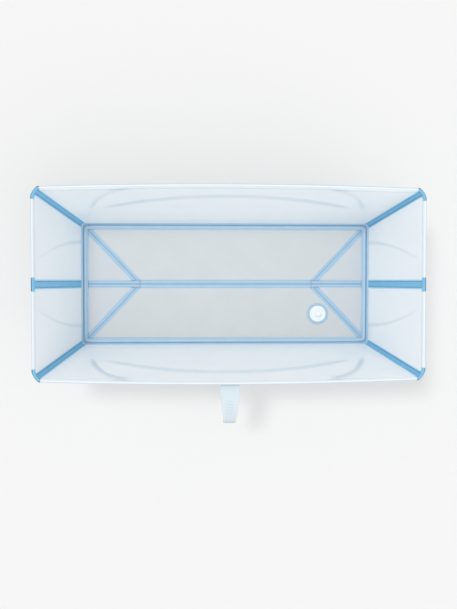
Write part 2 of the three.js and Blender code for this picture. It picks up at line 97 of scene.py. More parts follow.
# How finely the pieces are divided, in points along each stretch
SIDE_STATIONS, SIDE_ROWS = 221, (16, 14, 18, 15)
END_COLUMNS, LOWER_ROWS, BAND_ROWS, RIM_ROWS = (18, 10, 24), 44, 15, 34
CORNER_ROWS, CORNER_EDGE, CORNER_TURN, BOOT_TURN = 56, 9, 21, 17
CREASE_ROWS, CREASE_COLUMNS = 50, 25
FOOT_FLAT, FOOT_TURN, FOOT_RISE = 22, 13, 7
SIDE_EDGE_STATIONS, END_EDGE_STATIONS = 121, 41
RIBBON_MIDDLE, CENTRE_STATIONS, FOLD_STATIONS = 16, 101, 41
BEAD_ROWS, BEAD_BAND_ROWS, BEAD_SIDES = 30, 7, 12
STRAP_STATIONS, STRAP_COLUMNS = 81, 41
DRAIN_POINTS, BORE_POINTS, KNOB_POINTS = 72, 32, 48


def quarter_name(end, side):
    """The part of a name that says where a piece is, such as left_front"""
    return f"{END_NAMES[end]}_{SIDE_NAMES[side]}"


def quarters():
    """Every end and side of the bath, with the name that the pieces there share"""
    return [(end, side, quarter_name(end, side)) for end in END_NAMES for side in SIDE_NAMES]


def length_property(name, value, about):
    return bpy.props.FloatProperty(
        name=name, description=about, default=value, unit="LENGTH", subtype="DISTANCE", precision=5
    )


def share_property(name, value, about):
    return bpy.props.FloatProperty(name=name, description=about, default=value, subtype="FACTOR")


def colour_property(name, value, about):
    return bpy.props.FloatVectorProperty(
        name=name, description=about, default=value, size=3, min=0, max=1, subtype="COLOR_GAMMA"
    )


class TubSizes(bpy.types.PropertyGroup):
    """Overall sizes and sheet thicknesses"""

    floor_length: length_property("Floor length", 0.684, "Between the feet of the end walls")
    floor_width: length_property("Floor width", 0.285, "Between the feet of the long walls")
    rim_length: length_property("Rim length", 0.835, "Over both end rims")
    rim_width: length_property("Rim width", 0.412, "Over both long rims, at their ends")
    height: length_property("Height", frame_box[1].z, "From the ground to the top of the rim")
    side_bow: length_property("Bow", 0.0075, "How far a long rim bows out at its middle")
    sheet: length_property("Sheet", 0.0022, "Thickness of the panels")
    gap: length_property("Gap", 0.0003, "Between two neighbouring pieces")
    panel_foot: length_property("Panel foot", 0.009, "Height at which the wall panels start")
    grain: length_property("Grain", 0.0012, "Size of the fine moulded grain")


class RimSizes(bpy.types.PropertyGroup):
    """Sizes of the turned-over rim and of the rubber caps on it"""

    reach: length_property("Reach", 0.005, "How far the lip stands out of the wall")
    drop: length_property("Drop", 0.008, "Height of the lip")
    slope: length_property("Slope", 0.0036, "How far the top of the rim falls outwards")
    line: length_property("Line", 0.0085, "From the top down to the groove inside the wall")
    rear_line: length_property("Rear line", 0.0155, "The same on the rear wall")
    line_width: length_property("Line width", 0.0075, "Width of that groove")
    line_depth: length_property("Line depth", 0.0006, "Depth of that groove")
    proud: length_property("Proud", 0.0004, "How far a rubber cap stands over the rim")
    band_foot: length_property("Band foot", 0.0102, "From the top down to the foot of a cap")
    band_blend: length_property("Band blend", 0.0058, "Height over which a cap widens")
    band_lead: length_property("Band lead", 0.004, "Fine rows of a wall, below the foot of a cap")
    crease_cap: length_property("Crease cap", 0.01475, "Half width of the cap on a crease")
    corner_reach_x: length_property("Corner reach X", 0.0138, "Corner cap along the long rim")
    corner_reach_y: length_property("Corner reach Y", 0.0229, "Corner cap along the end rim")
    corner_round_x: length_property("Corner radius X", 0.012, "Radius of a corner cap along X")
    corner_round_y: length_property("Corner radius Y", 0.019, "Radius of a corner cap along Y")


class StripSizes(bpy.types.PropertyGroup):
    """Sizes of the rubber hinge strips"""

    corner_radius: length_property("Corner radius", 0.010, "Outer radius of a wall corner")
    corner_reach: length_property("Corner reach", 0.011, "From the corner to the strip's edge")
    boot_radius: length_property("Boot radius", 0.0008, "Least radius at a floor corner")
    boot_reach: length_property("Boot reach", 0.0158, "From the corner to the boot's edge")
    crease: length_property("Crease", 0.009, "Half width of an end crease strip")
    edge_reach: length_property("Edge reach", 0.0125, "Floor-edge strip, from the wall inwards")
    edge_fillet: length_property("Edge fillet", 0.005, "Radius between floor and wall")
    edge_band: length_property("Edge band", 0.0045, "From a floor-edge fold in to its light band")
    centre: length_property("Centre", 0.0095, "Half width of the floor centre strip")
    end_centre: length_property("End centre", 0.008, "Half width of an end centre strip")
    diagonal: length_property("Diagonal", 0.0073, "Half width of a diagonal strip")
    gusset: length_property("Gusset", 0.1358, "Length of a floor gusset along X")
    bead: length_property("Bead", 0.0014, "Radius of the bead along a wall strip's edge")
    bead_shift: length_property("Bead shift", 0.0011, "From a corner joint to the bead on the panel")
    bead_foot: length_property("Bead foot", 0.016, "Height at which an upright bead starts")
    floor_bead: length_property("Floor bead", 0.0009, "Radius of the bead round a floor plate")
    plate_radius: length_property("Plate radius", 0.004, "Corner radius of a floor plate")
    corner_bend: length_property("Corner bend", 0.0085, "Half width over which a corner strip bends")
    foot_bend: length_property("Foot bend", 0.0097, "Width over which a long wall's foot bends")
    foot_bend_top: length_property("Foot bend top", 0.010, "Height at which that bend stops")
    fold_share: share_property("Fold share", 0.77, "Place of a wall's fold in its thickness")
    diagonal_bend: share_property("Diagonal bend", 0.36, "Share of a diagonal strip that bends")


class ArchSizes(bpy.types.PropertyGroup):
    """Sizes of the arched steps pressed in the walls"""

    side_step: length_property("Side step", 0.0016, "Depth of the arch in a long wall")
    flare_step: length_property("Flare step", 0.0010, "Depth of the sweep beside an arch")
    flare_below: length_property("Flare top", 0.019, "From the rim to the top of a sweep")
    flare_drop: length_property("Flare drop", 0.079, "How far a sweep falls over its run")
    end_step: length_property("End step", 0.0008, "Depth of the arch in an end wall")
    blend: length_property("Blend", 0.008, "Width of a step")
    step_rows: share_property("Step rows", 0.7, "Reach of the fine rows beside a step, in its widths")
    side_below: length_property("Side arch", 0.057, "From the rim to the arch's top")
    side_drop: length_property("Side drop", 0.115, "From the arch's top to its ends")
    end_foot: length_property("End arch foot", 0.099, "Half width of an end arch at the floor")
    end_top: length_property("End arch top", 0.044, "Half width of an end arch at the rim")
    foot_fade: length_property("Foot fade", 0.034, "Height over which an arch starts")
    rim_fade: length_property("Rim fade", 0.018, "Height over which an end arch stops")
    edge_fade: length_property("Edge fade", 0.045, "Length over which a side arch starts")
    flare_start: share_property("Flare start", 0.53, "Where a sweep starts, as a share of the half wall")
    flare_run: share_property("Flare run", 0.26, "How far a sweep runs, as a share of the half wall")
    flare_fade: share_property("Flare fade", 0.1, "How far a sweep takes to start")
    side_end: share_property("Side arch end", 0.86, "Where a side arch ends, as the same share")
    side_end_fade: share_property("Side arch fade", 0.3, "How far a side arch takes to start")


class TubColours(bpy.types.PropertyGroup):
    """Colours of the finishes"""

    # The light wall colour is painted light: the upper walls, the crescents, the band under the rim and
    # the strap's raised border. The deep wall colour is painted shade: the pressed lines, the line under
    # the rim and the rim's outer slope and lip.
    wall_painted_light: colour_property("Walls, light", (0.985, 0.995, 1.0), "Bright parts of the wall panels")
    wall: colour_property("Walls", (0.97, 0.985, 0.995), "Translucent wall panels")
    wall_painted_shade: colour_property("Walls, deep", (0.79, 0.85, 0.89), "Pressed lines in the walls")
    floor: colour_property("Floor", (0.835, 0.85, 0.855), "Floor panels")
    floor_deep: colour_property("Floor, deep", (0.78, 0.83, 0.87), "Edges of the floor panels")
    gusset: colour_property("Gussets", (0.835, 0.85, 0.87), "Triangular floor gussets")
    # The light rubber colour is a painted highlight on the beads and the tops of the caps. The deep
    # rubber colour is painted shade in the wall strips' grooves, on the caps' outer edges and under the
    # caps; the plug's seal is also drawn towards it.
    rubber_painted_highlight: colour_property("Rubber, light", (0.72, 0.88, 0.97), "Raised edges of a wall strip")
    rubber: colour_property("Rubber", (0.49, 0.745, 0.89), "Middle of a wall strip")
    rubber_deep: colour_property("Rubber, deep", (0.20, 0.43, 0.60), "Grooves of a wall strip")
    # The light pale colour is a painted highlight on the floor beads and the raised bands of the floor
    # strips; the wall-side foot of the floor-edge strips and the drain seat are also drawn towards it.
    # The deep pale colour is painted shade along the floor strips' edges and in their fold grooves.
    pale_light: colour_property("Pale rubber, light", (0.74, 0.84, 0.91), "Raised edges on the floor")
    pale: colour_property("Pale rubber", (0.655, 0.77, 0.855), "Middle of a floor strip")
    pale_painted_shade: colour_property("Pale rubber, deep", (0.49, 0.64, 0.76), "Grooves of a floor strip")
    strap: colour_property("Strap", (0.88, 0.925, 0.95), "Closure strap")
    # The deep strap colour is painted shade on the bar where the strap's tip bends down; the grip ribs
    # are also drawn a little towards it.
    strap_deep: colour_property("Strap, deep", (0.66, 0.76, 0.82), "The bar at the strap's tip")
    fitting: colour_property("Fittings", (0.93, 0.95, 0.96), "Keeper, catch and plug")
    ground: colour_property("Ground", (0.895, 0.895, 0.894), "The floor that the bath stands on")


class StrapSizes(bpy.types.PropertyGroup):
    """Sizes of the closure strap, its keeper and its catch"""

    below_rim: length_property("Below rim", 0.020, "From the rim down to the strap's pin")
    outset: length_property("Outset", 0.0075, "From the wall out to the pin")
    run: length_property("Run", 0.093, "How far the strap reaches outwards")
    sag: length_property("Sag", 0.050, "How far the strap hangs down")
    root_width: length_property("Root width", 0.042, "Width at the pin")
    tip_width: length_property("Tip width", 0.028, "Width at the tip")
    thickness: length_property("Thickness", 0.003, "Thickness of the band")
    slot_width: length_property("Slot width", 0.014, "Slot across the band")
    slot_length: length_property("Slot length", 0.008, "Slot along the band")
    slot_from_tip: length_property("Slot from tip", 0.015, "Middle of the slot, from the tip")
    bar_radius: length_property("Bar radius", 0.003, "Root bar")
    journal_radius: length_property("Journal radius", 0.002, "Ends of the root bar")
    ear_width: length_property("Ear width", 0.004, "Thickness of a keeper's ear")
    ear_half: length_property("Ear half height", 0.0045, "Half height of an ear")
    plate: length_property("Plate", 0.0025, "Thickness of the keeper's plate")
    keeper_half_height: length_property("Keeper half height", 0.008, "Half height of the plate")
    catch_below_rim: length_property("Catch below rim", 0.023, "From the rim down to the catch")
    base: length_property("Catch base", 0.0025, "Thickness of the catch's base")
    base_radius: length_property("Catch base radius", 0.011, "Radius of the base")
    stem: length_property("Catch stem", 0.006, "Length of the stem")
    stem_radius: length_property("Catch stem radius", 0.004, "Radius of the stem")
    head: length_property("Catch head", 0.003, "Thickness of the head")
    head_radius: length_property("Catch head radius", 0.0065, "Radius of the head")


class DrainSizes(bpy.types.PropertyGroup):
    """Sizes of the drain and its plug"""

    seat: length_property("Seat radius", 0.026, "Outer radius of the rubber seat")
    hole: length_property("Hole radius", 0.020, "Hole in the floor panel")
    bore: length_property("Bore radius", 0.016, "Bore of the seat")
    flange: length_property("Seat flange", 0.0018, "Thickness of the seat on the floor")
    plug_radius: length_property("Plug radius", 0.0195, "Radius of the plug's flange")
    plug_flange: length_property("Plug flange", 0.0024, "Thickness of the plug's flange")
    plug_body: length_property("Plug body radius", 0.0138, "Radius of the plug's body")
    plug_depth: length_property("Plug depth", 0.0042, "How far the body goes down")
    knob_neck: length_property("Knob neck", 0.0042, "Radius of the knob's neck")
    knob_radius: length_property("Knob radius", 0.0062, "Radius of the knob")
    knob_height: length_property("Knob height", 0.010, "Height of the knob")


PROPERTY_GROUPS = {
    "tub_sizes": TubSizes,
    "tub_rim": RimSizes,
    "tub_strips": StripSizes,
    "tub_arches": ArchSizes,
    "tub_strap": StrapSizes,
    "tub_drain": DrainSizes,
    "tub_colours": TubColours,
}


# Numbers and curves


def smooth(share):
    """Rises from 0 to 1 without a corner"""
    t = np.clip(share, 0, 1)
    return t * t * (3 - 2 * t)


def spread(start, stop, share):
    return start + (stop - start) * share


def bump(distance, width):
    """1 at distance 0, falling smoothly to 0 at half the width"""
    return smooth(1 - 2 * np.abs(distance) / width)


class Ridge:
    """A smooth ridge across a piece, or a groove where its height is negative"""

    def __init__(self, place, width, height):
        self.place, self.width, self.height = place, width, height

    def at(self, distance):
        return self.height * bump(distance - self.place, self.width)


def spline(points, count, steps=24):
    """Evenly spread points on a smooth curve through the given ones"""
    points = np.asarray(points, float)
    padded = np.vstack([2 * points[0] - points[1], points, 2 * points[-1] - points[-2]])
    fine = []
    for before, start, stop, after in zip(padded, padded[1:], padded[2:], padded[3:]):
        for t in np.linspace(0, 1, steps, endpoint=False):
            twice = 2 * start + (stop - before) * t
            twice += (2 * before - 5 * start + 4 * stop - after) * t**2
            twice += (3 * start - before - 3 * stop + after) * t**3
            fine.append(twice / 2)
    return resample(np.vstack([fine, points[-1]]), count)


def resample(points, count):
    steps = np.linalg.norm(np.diff(points, axis=0), axis=1)
    along = np.concatenate([[0], np.cumsum(steps)])
    wanted = np.linspace(0, along[-1], count)
    return np.stack([np.interp(wanted, along, points[:, k]) for k in range(points.shape[1])], axis=1)


def unit(vectors, least=1e-12):
    return vectors / np.maximum(np.linalg.norm(vectors, axis=-1, keepdims=True), least)


def linear(colour):
    """A written sRGB colour as the light that a shader expects, with full alpha"""
    return [c / 12.92 if c <= 0.04045 else ((c + 0.055) / 1.055) ** 2.4 for c in colour] + [1]


# Meshes


def set_tone(mesh, tone):
    """Writes the tone of every point: 0 is light, 0.5 is the middle and 1 is deep. Most tones off the
    middle are painted highlight and painted shade.
    """
    tones = mesh.attributes.new("tone", "FLOAT", "POINT")
    tones.data.foreach_set("value", np.asarray(tone, np.float32))


def link_object(name, data):
    """A new object for a mesh, a lamp or a camera"""
    new = bpy.data.objects.new(name, data)
    bpy.context.scene.collection.objects.link(new)
    return new


def new_object(name, vertices, faces, material, tone):
    """A closed, smooth object that is sharp only where its faces turn hard"""
    mesh = bpy.data.meshes.new(name)
    mesh.from_pydata([tuple(v) for v in vertices], [], [tuple(f) for f in faces])
    set_tone(mesh, tone)
    shape = bmesh.new()
    shape.from_mesh(mesh)
    bmesh.ops.remove_doubles(shape, verts=shape.verts, dist=MERGE_DISTANCE)
    bmesh.ops.dissolve_degenerate(shape, edges=shape.edges, dist=MERGE_DISTANCE)
    bmesh.ops.recalc_face_normals(shape, faces=shape.faces)
    if shape.calc_volume(signed=True) < 0:
        bmesh.ops.reverse_faces(shape, faces=shape.faces)
    for face in shape.faces:
        face.smooth = True
    shape.to_mesh(mesh)
    shape.free()
    mesh.set_sharp_from_angle(angle=SHARP_ANGLE)
    mesh.materials.append(material)
    return link_object(name, mesh)


def rounded_end(inner, outer, tone, turns=(0, 24, 46, 66, 84)):
    """Rounds the last stations of a sheet over its thickness, at the given turns in degrees"""
    middle, half = (inner + outer) / 2, (outer - inner) / 2
    step = np.linalg.norm(np.diff(middle, axis=0), axis=2).mean(axis=1)
    from_end = np.concatenate([np.cumsum(step[::-1])[::-1], [0]])
    radius = np.linalg.norm(half[-1], axis=1)
    room = 1.2 * radius.mean()
    kept = from_end > room
    kept[0] = True
    run = unit(middle[-1] - middle[kept][-1])
    base = middle[-1] - run * radius[:, None]
    inner_turns, outer_turns = [], []
    for angle in np.radians(turns):
        centre = base + run * radius[:, None] * math.sin(angle)
        inner_turns.append(centre - half[-1] * math.cos(angle))
        outer_turns.append(centre + half[-1] * math.cos(angle))
    return (
        np.concatenate([inner[kept], inner_turns]),
        np.concatenate([outer[kept], outer_turns]),
        np.concatenate([tone[kept], [tone[-1]] * len(turns)]),
    )


def rounded_sheet(inner, outer, tone, edges):
    """Rounds the chosen edges: first and last station, first and last row"""
    for axis, first, last in ((0, edges[0], edges[1]), (1, edges[2], edges[3])):
        grids = [np.swapaxes(g, 0, axis) for g in (inner, outer, tone)]
        if last:
            grids = rounded_end(*grids)
        if first:
            grids = [g[::-1] for g in rounded_end(*[g[::-1] for g in grids])]
        inner, outer, tone = [np.swapaxes(g, 0, axis) for g in grids]
    return inner, outer, tone


def sheet(name, inner, outer, material, tone, edges=ALL_EDGES):
    """A closed sheet between two grids of points, indexed by station and row"""
    tone = np.broadcast_to(tone, inner.shape[:2])
    inner, outer, tone = rounded_sheet(inner, outer, tone, edges)
    stations, rows = inner.shape[:2]
    index = np.arange(stations * rows).reshape(stations, rows)
    a, b, c, d = index[:-1, :-1], index[1:, :-1], index[1:, 1:], index[:-1, 1:]
    near = np.stack([a, b, c, d], axis=-1).reshape(-1, 4)
    far = near[:, ::-1] + index.size
    rim = np.concatenate([index[:, 0], index[-1, 1:], index[-2::-1, -1], index[0, -2:0:-1]])
    following = np.roll(rim, -1)
    skirt = np.stack([rim, rim + index.size, following + index.size, following], axis=1)
    vertices = np.concatenate([inner.reshape(-1, 3), outer.reshape(-1, 3)])
    tones = np.concatenate([tone.ravel(), tone.ravel()])
    return new_object(name, vertices, np.concatenate([near, far, skirt]), material, tones)


def embossed(inner, outer, lift_inner, lift_outer=0.0):
    """Moves both faces of a sheet apart by the given heights"""
    run = unit(outer - inner)
    lift_inner, lift_outer = [np.asarray(lift)[..., None] for lift in (lift_inner, lift_outer)]
    return inner - run * lift_inner, outer + run * lift_outer


def across(grid):
    """For each point of a grid, its distance from the first and from the last station"""
    step = np.linalg.norm(np.diff(grid, axis=0), axis=2)
    along = np.concatenate([np.zeros((1, grid.shape[1])), np.cumsum(step, axis=0)])
    return along, along[-1] - along


def rounded_outline(corners, radius, steps=7):
    """An outline with round corners, each a smooth curve from edge to edge"""
    corners = [np.asarray(c, float) for c in corners]
    points = []
    for i, corner in enumerate(corners):
        before, after = corners[i - 1], corners[(i + 1) % len(corners)]
        start = corner + unit(before - corner) * radius
        stop = corner + unit(after - corner) * radius
        for t in np.linspace(0, 1, steps):
            points.append((1 - t) ** 2 * start + 2 * t * (1 - t) * corner + t * t * stop)
    return np.array(points)


def ring(x, y, radius, count):
    """An anticlockwise circle of points"""
    turns = np.linspace(0, 2 * math.pi, count, endpoint=False)
    return np.stack([x + radius * np.cos(turns), y + radius * np.sin(turns)], axis=1)


def shrunk(outline, distance):
    """An anticlockwise outline moved inwards"""
    before, after = np.roll(outline, 1, axis=0), np.roll(outline, -1, axis=0)
    run = unit(after - before)
    return outline + np.stack([-run[:, 1], run[:, 0]], axis=1) * distance


def placed(vertices, place):
    """Points moved from a piece's own axes to the tub's"""
    return vertices if place is None else [tuple(place @ Vector(v)) for v in vertices]


def slab(name, outline, low, high, material, hole=None, place=None, radius=None):
    """A flat plate with round edges. A hole is an outline of its own, also anticlockwise."""
    radius = (high - low) / 2 if radius is None else radius
    flat_inset = 1.6 * radius
    rings = [(flat_inset, low)]
    for angle in np.radians((0, 22.5, 45, 67.5, 90)):
        rings.append((radius * (1 - math.sin(angle)), low + radius * (1 - math.cos(angle))))
    rings += [(inset, low + high - z) for inset, z in rings[::-1]][1:]
    loops = [(outline, 1)] + ([(hole, -1)] if hole is not None else [])
    vertices, faces, starts = [], [], []
    for loop, turn in loops:
        starts.append(len(vertices))
        for inset, z in rings:
            vertices += [(x, y, z) for x, y in shrunk(loop, turn * inset)]
        count = len(loop)
        for r in range(len(rings) - 1):
            base = starts[-1] + r * count
            for i in range(count):
                j = (i + 1) % count
                faces.append([base + i, base + j, base + count + j, base + count + i][::turn])
    for ring, turn in ((0, -1), (len(rings) - 1, 1)):
        picked = []
        for start, (loop, _) in zip(starts, loops):
            first = start + ring * len(loop)
            picked.append(range(first, first + len(loop)))
        flat = [[Vector(vertices[i]) for i in loop] for loop in picked]
        order = [i for loop in picked for i in loop]
        for triangle in tessellate_polygon(flat):
            faces.append([order[i] for i in triangle][::turn])
    tones = np.full(len(vertices), MIDDLE_TONE)
    return new_object(name, placed(vertices, place), faces, material, tones)


def turned(name, profile, material, place=None, steps=72, tone=MIDDLE_TONE):
    """A shape turned about its own upright axis from [radius, height] points"""
    vertices, faces = [], []
    count = len(profile)
    for k in range(steps):
        angle = 2 * math.pi * k / steps
        for radius, z in profile:
            vertices.append((radius * math.cos(angle), radius * math.sin(angle), z))
    for k in range(steps):
        for i in range(count - 1):
            a, b = k * count + i, ((k + 1) % steps) * count + i
            faces.append([a, b, b + 1, a + 1])
    tones = np.full(len(vertices), tone)
    return new_object(name, placed(vertices, place), faces, material, tones)


def softened(profile, radius, steps=4, most=0.4):
    """A profile with round corners, each at most a given share of its edges"""
    points = [profile[0]]
    for before, corner, after in zip(profile, profile[1:], profile[2:]):
        before, corner, after = (np.asarray(p, float) for p in (before, corner, after))
        room = min(np.linalg.norm(before - corner), np.linalg.norm(after - corner)) * most
        reach = min(radius, room)
        start = corner + unit(before - corner) * reach
        stop = corner + unit(after - corner) * reach
        for t in np.linspace(0, 1, steps):
            points.append(tuple((1 - t) ** 2 * start + 2 * t * (1 - t) * corner + t * t * stop))
    return points + [profile[-1]]


def joined_pieces(name, pieces):
    """One object made of several"""
    shape = bmesh.new()
    for piece in pieces:
        shape.from_mesh(piece.data)
    mesh = bpy.data.meshes.new(name)
    shape.to_mesh(mesh)
    shape.free()
    for material in pieces[0].data.materials:
        mesh.materials.append(material)
    for piece in pieces:
        bpy.data.objects.remove(piece)
    mesh.set_sharp_from_angle(angle=SHARP_ANGLE)
    return link_object(name, mesh)


def drawn_path(name, paths):
    """An object of bare edges, one run for each path. A path may be closed."""
    vertices, edges = [], []
    for points, closed in paths:
        first = len(vertices)
        vertices += [tuple(p) for p in points]
        edges += [(i, i + 1) for i in range(first, len(vertices) - 1)]
        if closed:
            edges.append((len(vertices) - 1, first))
    mesh = bpy.data.meshes.new(name)
    mesh.from_pydata(vertices, edges, [])
    return link_object(name, mesh)


# Geometry Nodes


def start_tree(name, inputs):
    """A new tree with named inputs: its nodes, its links and its input node"""
    tree = bpy.data.node_groups.new(name, "GeometryNodeTree")
    tree.interface.new_socket("Geometry", in_out="INPUT", socket_type="NodeSocketGeometry")
    for label, kind in inputs.items():
        tree.interface.new_socket(label, in_out="INPUT", socket_type=kind)
    tree.interface.new_socket("Geometry", in_out="OUTPUT", socket_type="NodeSocketGeometry")
    return tree, tree.nodes.new("NodeGroupInput")


def link_all(tree, *pairs):
    for source, target in pairs:
        tree.links.new(source, target)


def end_tree(tree, given, geometry):
    """Closes a tree: smooth faces, realized instances and the material"""
    smooth_faces = tree.nodes.new("GeometryNodeSetShadeSmooth")
    realize = tree.nodes.new("GeometryNodeRealizeInstances")
    dress = tree.nodes.new("GeometryNodeSetMaterial")
    result = tree.nodes.new("NodeGroupOutput")
    link_all(
        tree,
        (geometry, smooth_faces.inputs["Geometry"]),
        (smooth_faces.outputs["Geometry"], realize.inputs["Geometry"]),
        (realize.outputs["Geometry"], dress.inputs["Geometry"]),
        (given.outputs["Material"], dress.inputs["Material"]),
        (dress.outputs["Geometry"], result.inputs["Geometry"]),
    )
    return tree


def bead_tree():
    """A round bead along every run of edges"""
    found = bpy.data.node_groups.get("Edge bead")
    if found:
        return found
    kinds = {"Radius": "NodeSocketFloat", "Sides": "NodeSocketInt", "Material": "NodeSocketMaterial"}
    tree, given = start_tree("Edge bead", kinds)
    run = tree.nodes.new("GeometryNodeMeshToCurve")
    ring = tree.nodes.new("GeometryNodeCurvePrimitiveCircle")
    bead = tree.nodes.new("GeometryNodeCurveToMesh")
    bead.inputs["Fill Caps"].default_value = True
    link_all(
        tree,
        (given.outputs["Geometry"], run.inputs["Mesh"]),
        (given.outputs["Radius"], ring.inputs["Radius"]),
        (given.outputs["Sides"], ring.inputs["Resolution"]),
        (run.outputs["Curve"], bead.inputs["Curve"]),
        (ring.outputs["Curve"], bead.inputs["Profile Curve"]),
    )
    return end_tree(tree, given, bead.outputs["Mesh"])


def rib_tree():
    """Round ribs spread evenly along every run of edges"""
    found = bpy.data.node_groups.get("Grip ribs")
    if found:
        return found
    kinds = {"Count": "NodeSocketInt", "Size": "NodeSocketVector", "Material": "NodeSocketMaterial"}
    tree, given = start_tree("Grip ribs", kinds)
    run = tree.nodes.new("GeometryNodeMeshToCurve")
    spaced = tree.nodes.new("GeometryNodeResampleCurve")
    rib = tree.nodes.new("GeometryNodeMeshUVSphere")
    rib.inputs["Segments"].default_value = 10
    rib.inputs["Rings"].default_value = 8
    rib.inputs["Radius"].default_value = 1
    tangent = tree.nodes.new("GeometryNodeInputTangent")
    turn = tree.nodes.new("FunctionNodeAlignRotationToVector")
    turn.axis = "Y"
    spots = tree.nodes.new("GeometryNodeInstanceOnPoints")
    link_all(
        tree,
        (given.outputs["Geometry"], run.inputs["Mesh"]),
        (run.outputs["Curve"], spaced.inputs["Curve"]),
        (given.outputs["Count"], spaced.inputs["Count"]),
        (spaced.outputs["Curve"], spots.inputs["Points"]),
        (rib.outputs["Mesh"], spots.inputs["Instance"]),
        (tangent.outputs["Tangent"], turn.inputs["Vector"]),
        (turn.outputs["Rotation"], spots.inputs["Rotation"]),
        (given.outputs["Size"], spots.inputs["Scale"]),
    )
    return end_tree(tree, given, spots.outputs["Instances"])


def grown(path, tree, tone=0.0, **values):
    """Runs a tree on a path and keeps the result as a plain mesh of one tone"""
    modifier = path.modifiers.new("shape", "NODES")
    modifier.node_group = tree
    for socket in tree.interface.items_tree:
        if socket.in_out == "INPUT" and socket.name in values:
            modifier[socket.identifier] = values[socket.name]
    depsgraph = bpy.context.evaluated_depsgraph_get()
    mesh = bpy.data.meshes.new_from_object(path.evaluated_get(depsgraph), depsgraph=depsgraph)
    path.modifiers.remove(modifier)
    set_tone(mesh, np.full(len(mesh.vertices), tone))
    path.data = mesh
    return path


# Materials


class Moulding(NamedTuple):
    """How a kind of moulded surface looks: its grain, slow clouds of shade and uneven gloss"""

    grain: float
    grain_strength: float
    cloud: float
    cloud_tint: tuple
    gloss_patch: float
    gloss_range: tuple
    refraction: float


PLASTIC = Moulding(1.0, 0.25, 0.06, (0.96, 0.975, 0.985, 1), 0.015, (0.85, 1.15), 1.46)
RUBBER = Moulding(0.8, 0.3, 0.025, (0.93, 0.955, 0.97, 1), 0.01, (0.85, 1.2), 1.5)


class Finish(NamedTuple):
    """A moulding with its light, middle and deep colour, its roughness and its transmission"""

    moulding: Moulding
    colours: tuple
    roughness: float
    transmission: float = 0.0


FINISHES = {
    "wall_plastic": Finish(PLASTIC, ("wall_painted_light", "wall", "wall_painted_shade"), 0.34, 0.04),
    "floor_plastic": Finish(PLASTIC, ("floor", "floor", "floor_deep"), 0.42, 0.1),
    "gusset_plastic": Finish(PLASTIC, ("gusset", "gusset", "floor_deep"), 0.4, 0.1),
    "fitting_plastic": Finish(PLASTIC, ("fitting", "fitting", "wall_painted_shade"), 0.32),
    "strap_rubber": Finish(PLASTIC, ("wall_painted_light", "strap", "strap_deep"), 0.38, 0.2),
    "hinge_rubber": Finish(RUBBER, ("rubber_painted_highlight", "rubber", "rubber_deep"), 0.42),
    "floor_rubber": Finish(RUBBER, ("pale_light", "pale", "pale_painted_shade"), 0.42),
}


def new_material(name):
    material = bpy.data.materials.new(name)
    material.use_nodes = True
    return material, material.node_tree.nodes, material.node_tree.links


def add_noise(nodes, links, place, size, detail):
    noise = nodes.new("ShaderNodeTexNoise")
    noise.inputs["Scale"].default_value = 1 / size
    noise.inputs["Detail"].default_value = detail
    links.new(place.outputs["Object"], noise.inputs["Vector"])
    return noise


def add_grain(nodes, links, size, strength, roughness=0.55, depth_share=0.1):
    """Fine moulded grain as bump, on the piece's own coordinates"""
    place = nodes.new("ShaderNodeTexCoord")
    noise = add_noise(nodes, links, place, size, 3)
    noise.inputs["Roughness"].default_value = roughness
    height = nodes.new("ShaderNodeBump")
    height.inputs["Strength"].default_value = strength
    height.inputs["Distance"].default_value = size * depth_share
    links.new(noise.outputs["Fac"], height.inputs["Height"])
    links.new(height.outputs["Normal"], nodes["Principled BSDF"].inputs["Normal"])
    return place


def add_clouds(nodes, links, place, size, low, high):
    """A slow variation over the surface, from low to high, spread over the middle of the noise"""
    noise = add_noise(nodes, links, place, size, 2)
    scale = nodes.new("ShaderNodeMapRange")
    scale.inputs["From Min"].default_value = 0.3
    scale.inputs["From Max"].default_value = 0.7
    scale.inputs["To Min"].default_value = low
    scale.inputs["To Max"].default_value = high
    links.new(noise.outputs["Fac"], scale.inputs["Value"])
    return scale.outputs["Result"]


def add_tones(nodes, links, light, middle, deep):
    """Colour by the tone attribute, which mostly paints highlight towards the light colour and shade
    towards the deep one
    """
    tone = nodes.new("ShaderNodeAttribute")
    tone.attribute_name = "tone"
    ramp = nodes.new("ShaderNodeValToRGB")
    ramp.color_ramp.elements[0].color = light
    ramp.color_ramp.elements[1].color = deep
    ramp.color_ramp.elements.new(MIDDLE_TONE).color = middle
    links.new(tone.outputs["Fac"], ramp.inputs["Fac"])
    return ramp.outputs["Color"]


def add_shade(nodes, links, colour, place, size, tint):
    """The colour, multiplied in slow clouds by a tint"""
    mix = nodes.new("ShaderNodeMix")
    mix.data_type = "RGBA"
    mix.blend_type = "MULTIPLY"
    mix.inputs["B"].default_value = tint
    links.new(colour, mix.inputs["A"])
    links.new(add_clouds(nodes, links, place, size, 0, 1), mix.inputs["Factor"])
    return mix.outputs["Result"]


def finish(kind):
    """The material of a finish, made the first time that it is asked for"""
    name = f"{kind}_finish"
    found = bpy.data.materials.get(name)
    if found:
        return found
    look, scene = FINISHES[kind], bpy.context.scene
    moulding = look.moulding
    material, nodes, links = new_material(name)
    shader = nodes["Principled BSDF"]
    place = add_grain(nodes, links, scene.tub_sizes.grain * moulding.grain, moulding.grain_strength)
    tones = add_tones(nodes, links, *[linear(getattr(scene.tub_colours, c)) for c in look.colours])
    colour = add_shade(nodes, links, tones, place, moulding.cloud, moulding.cloud_tint)
    links.new(colour, shader.inputs["Base Color"])
    glossy, matt = [look.roughness * share for share in moulding.gloss_range]
    gloss = add_clouds(nodes, links, place, moulding.gloss_patch, glossy, matt)
    links.new(gloss, shader.inputs["Roughness"])
    shader.inputs["IOR"].default_value = moulding.refraction
    shader.inputs["Transmission Weight"].default_value = look.transmission
    return material


# The shape of the tub


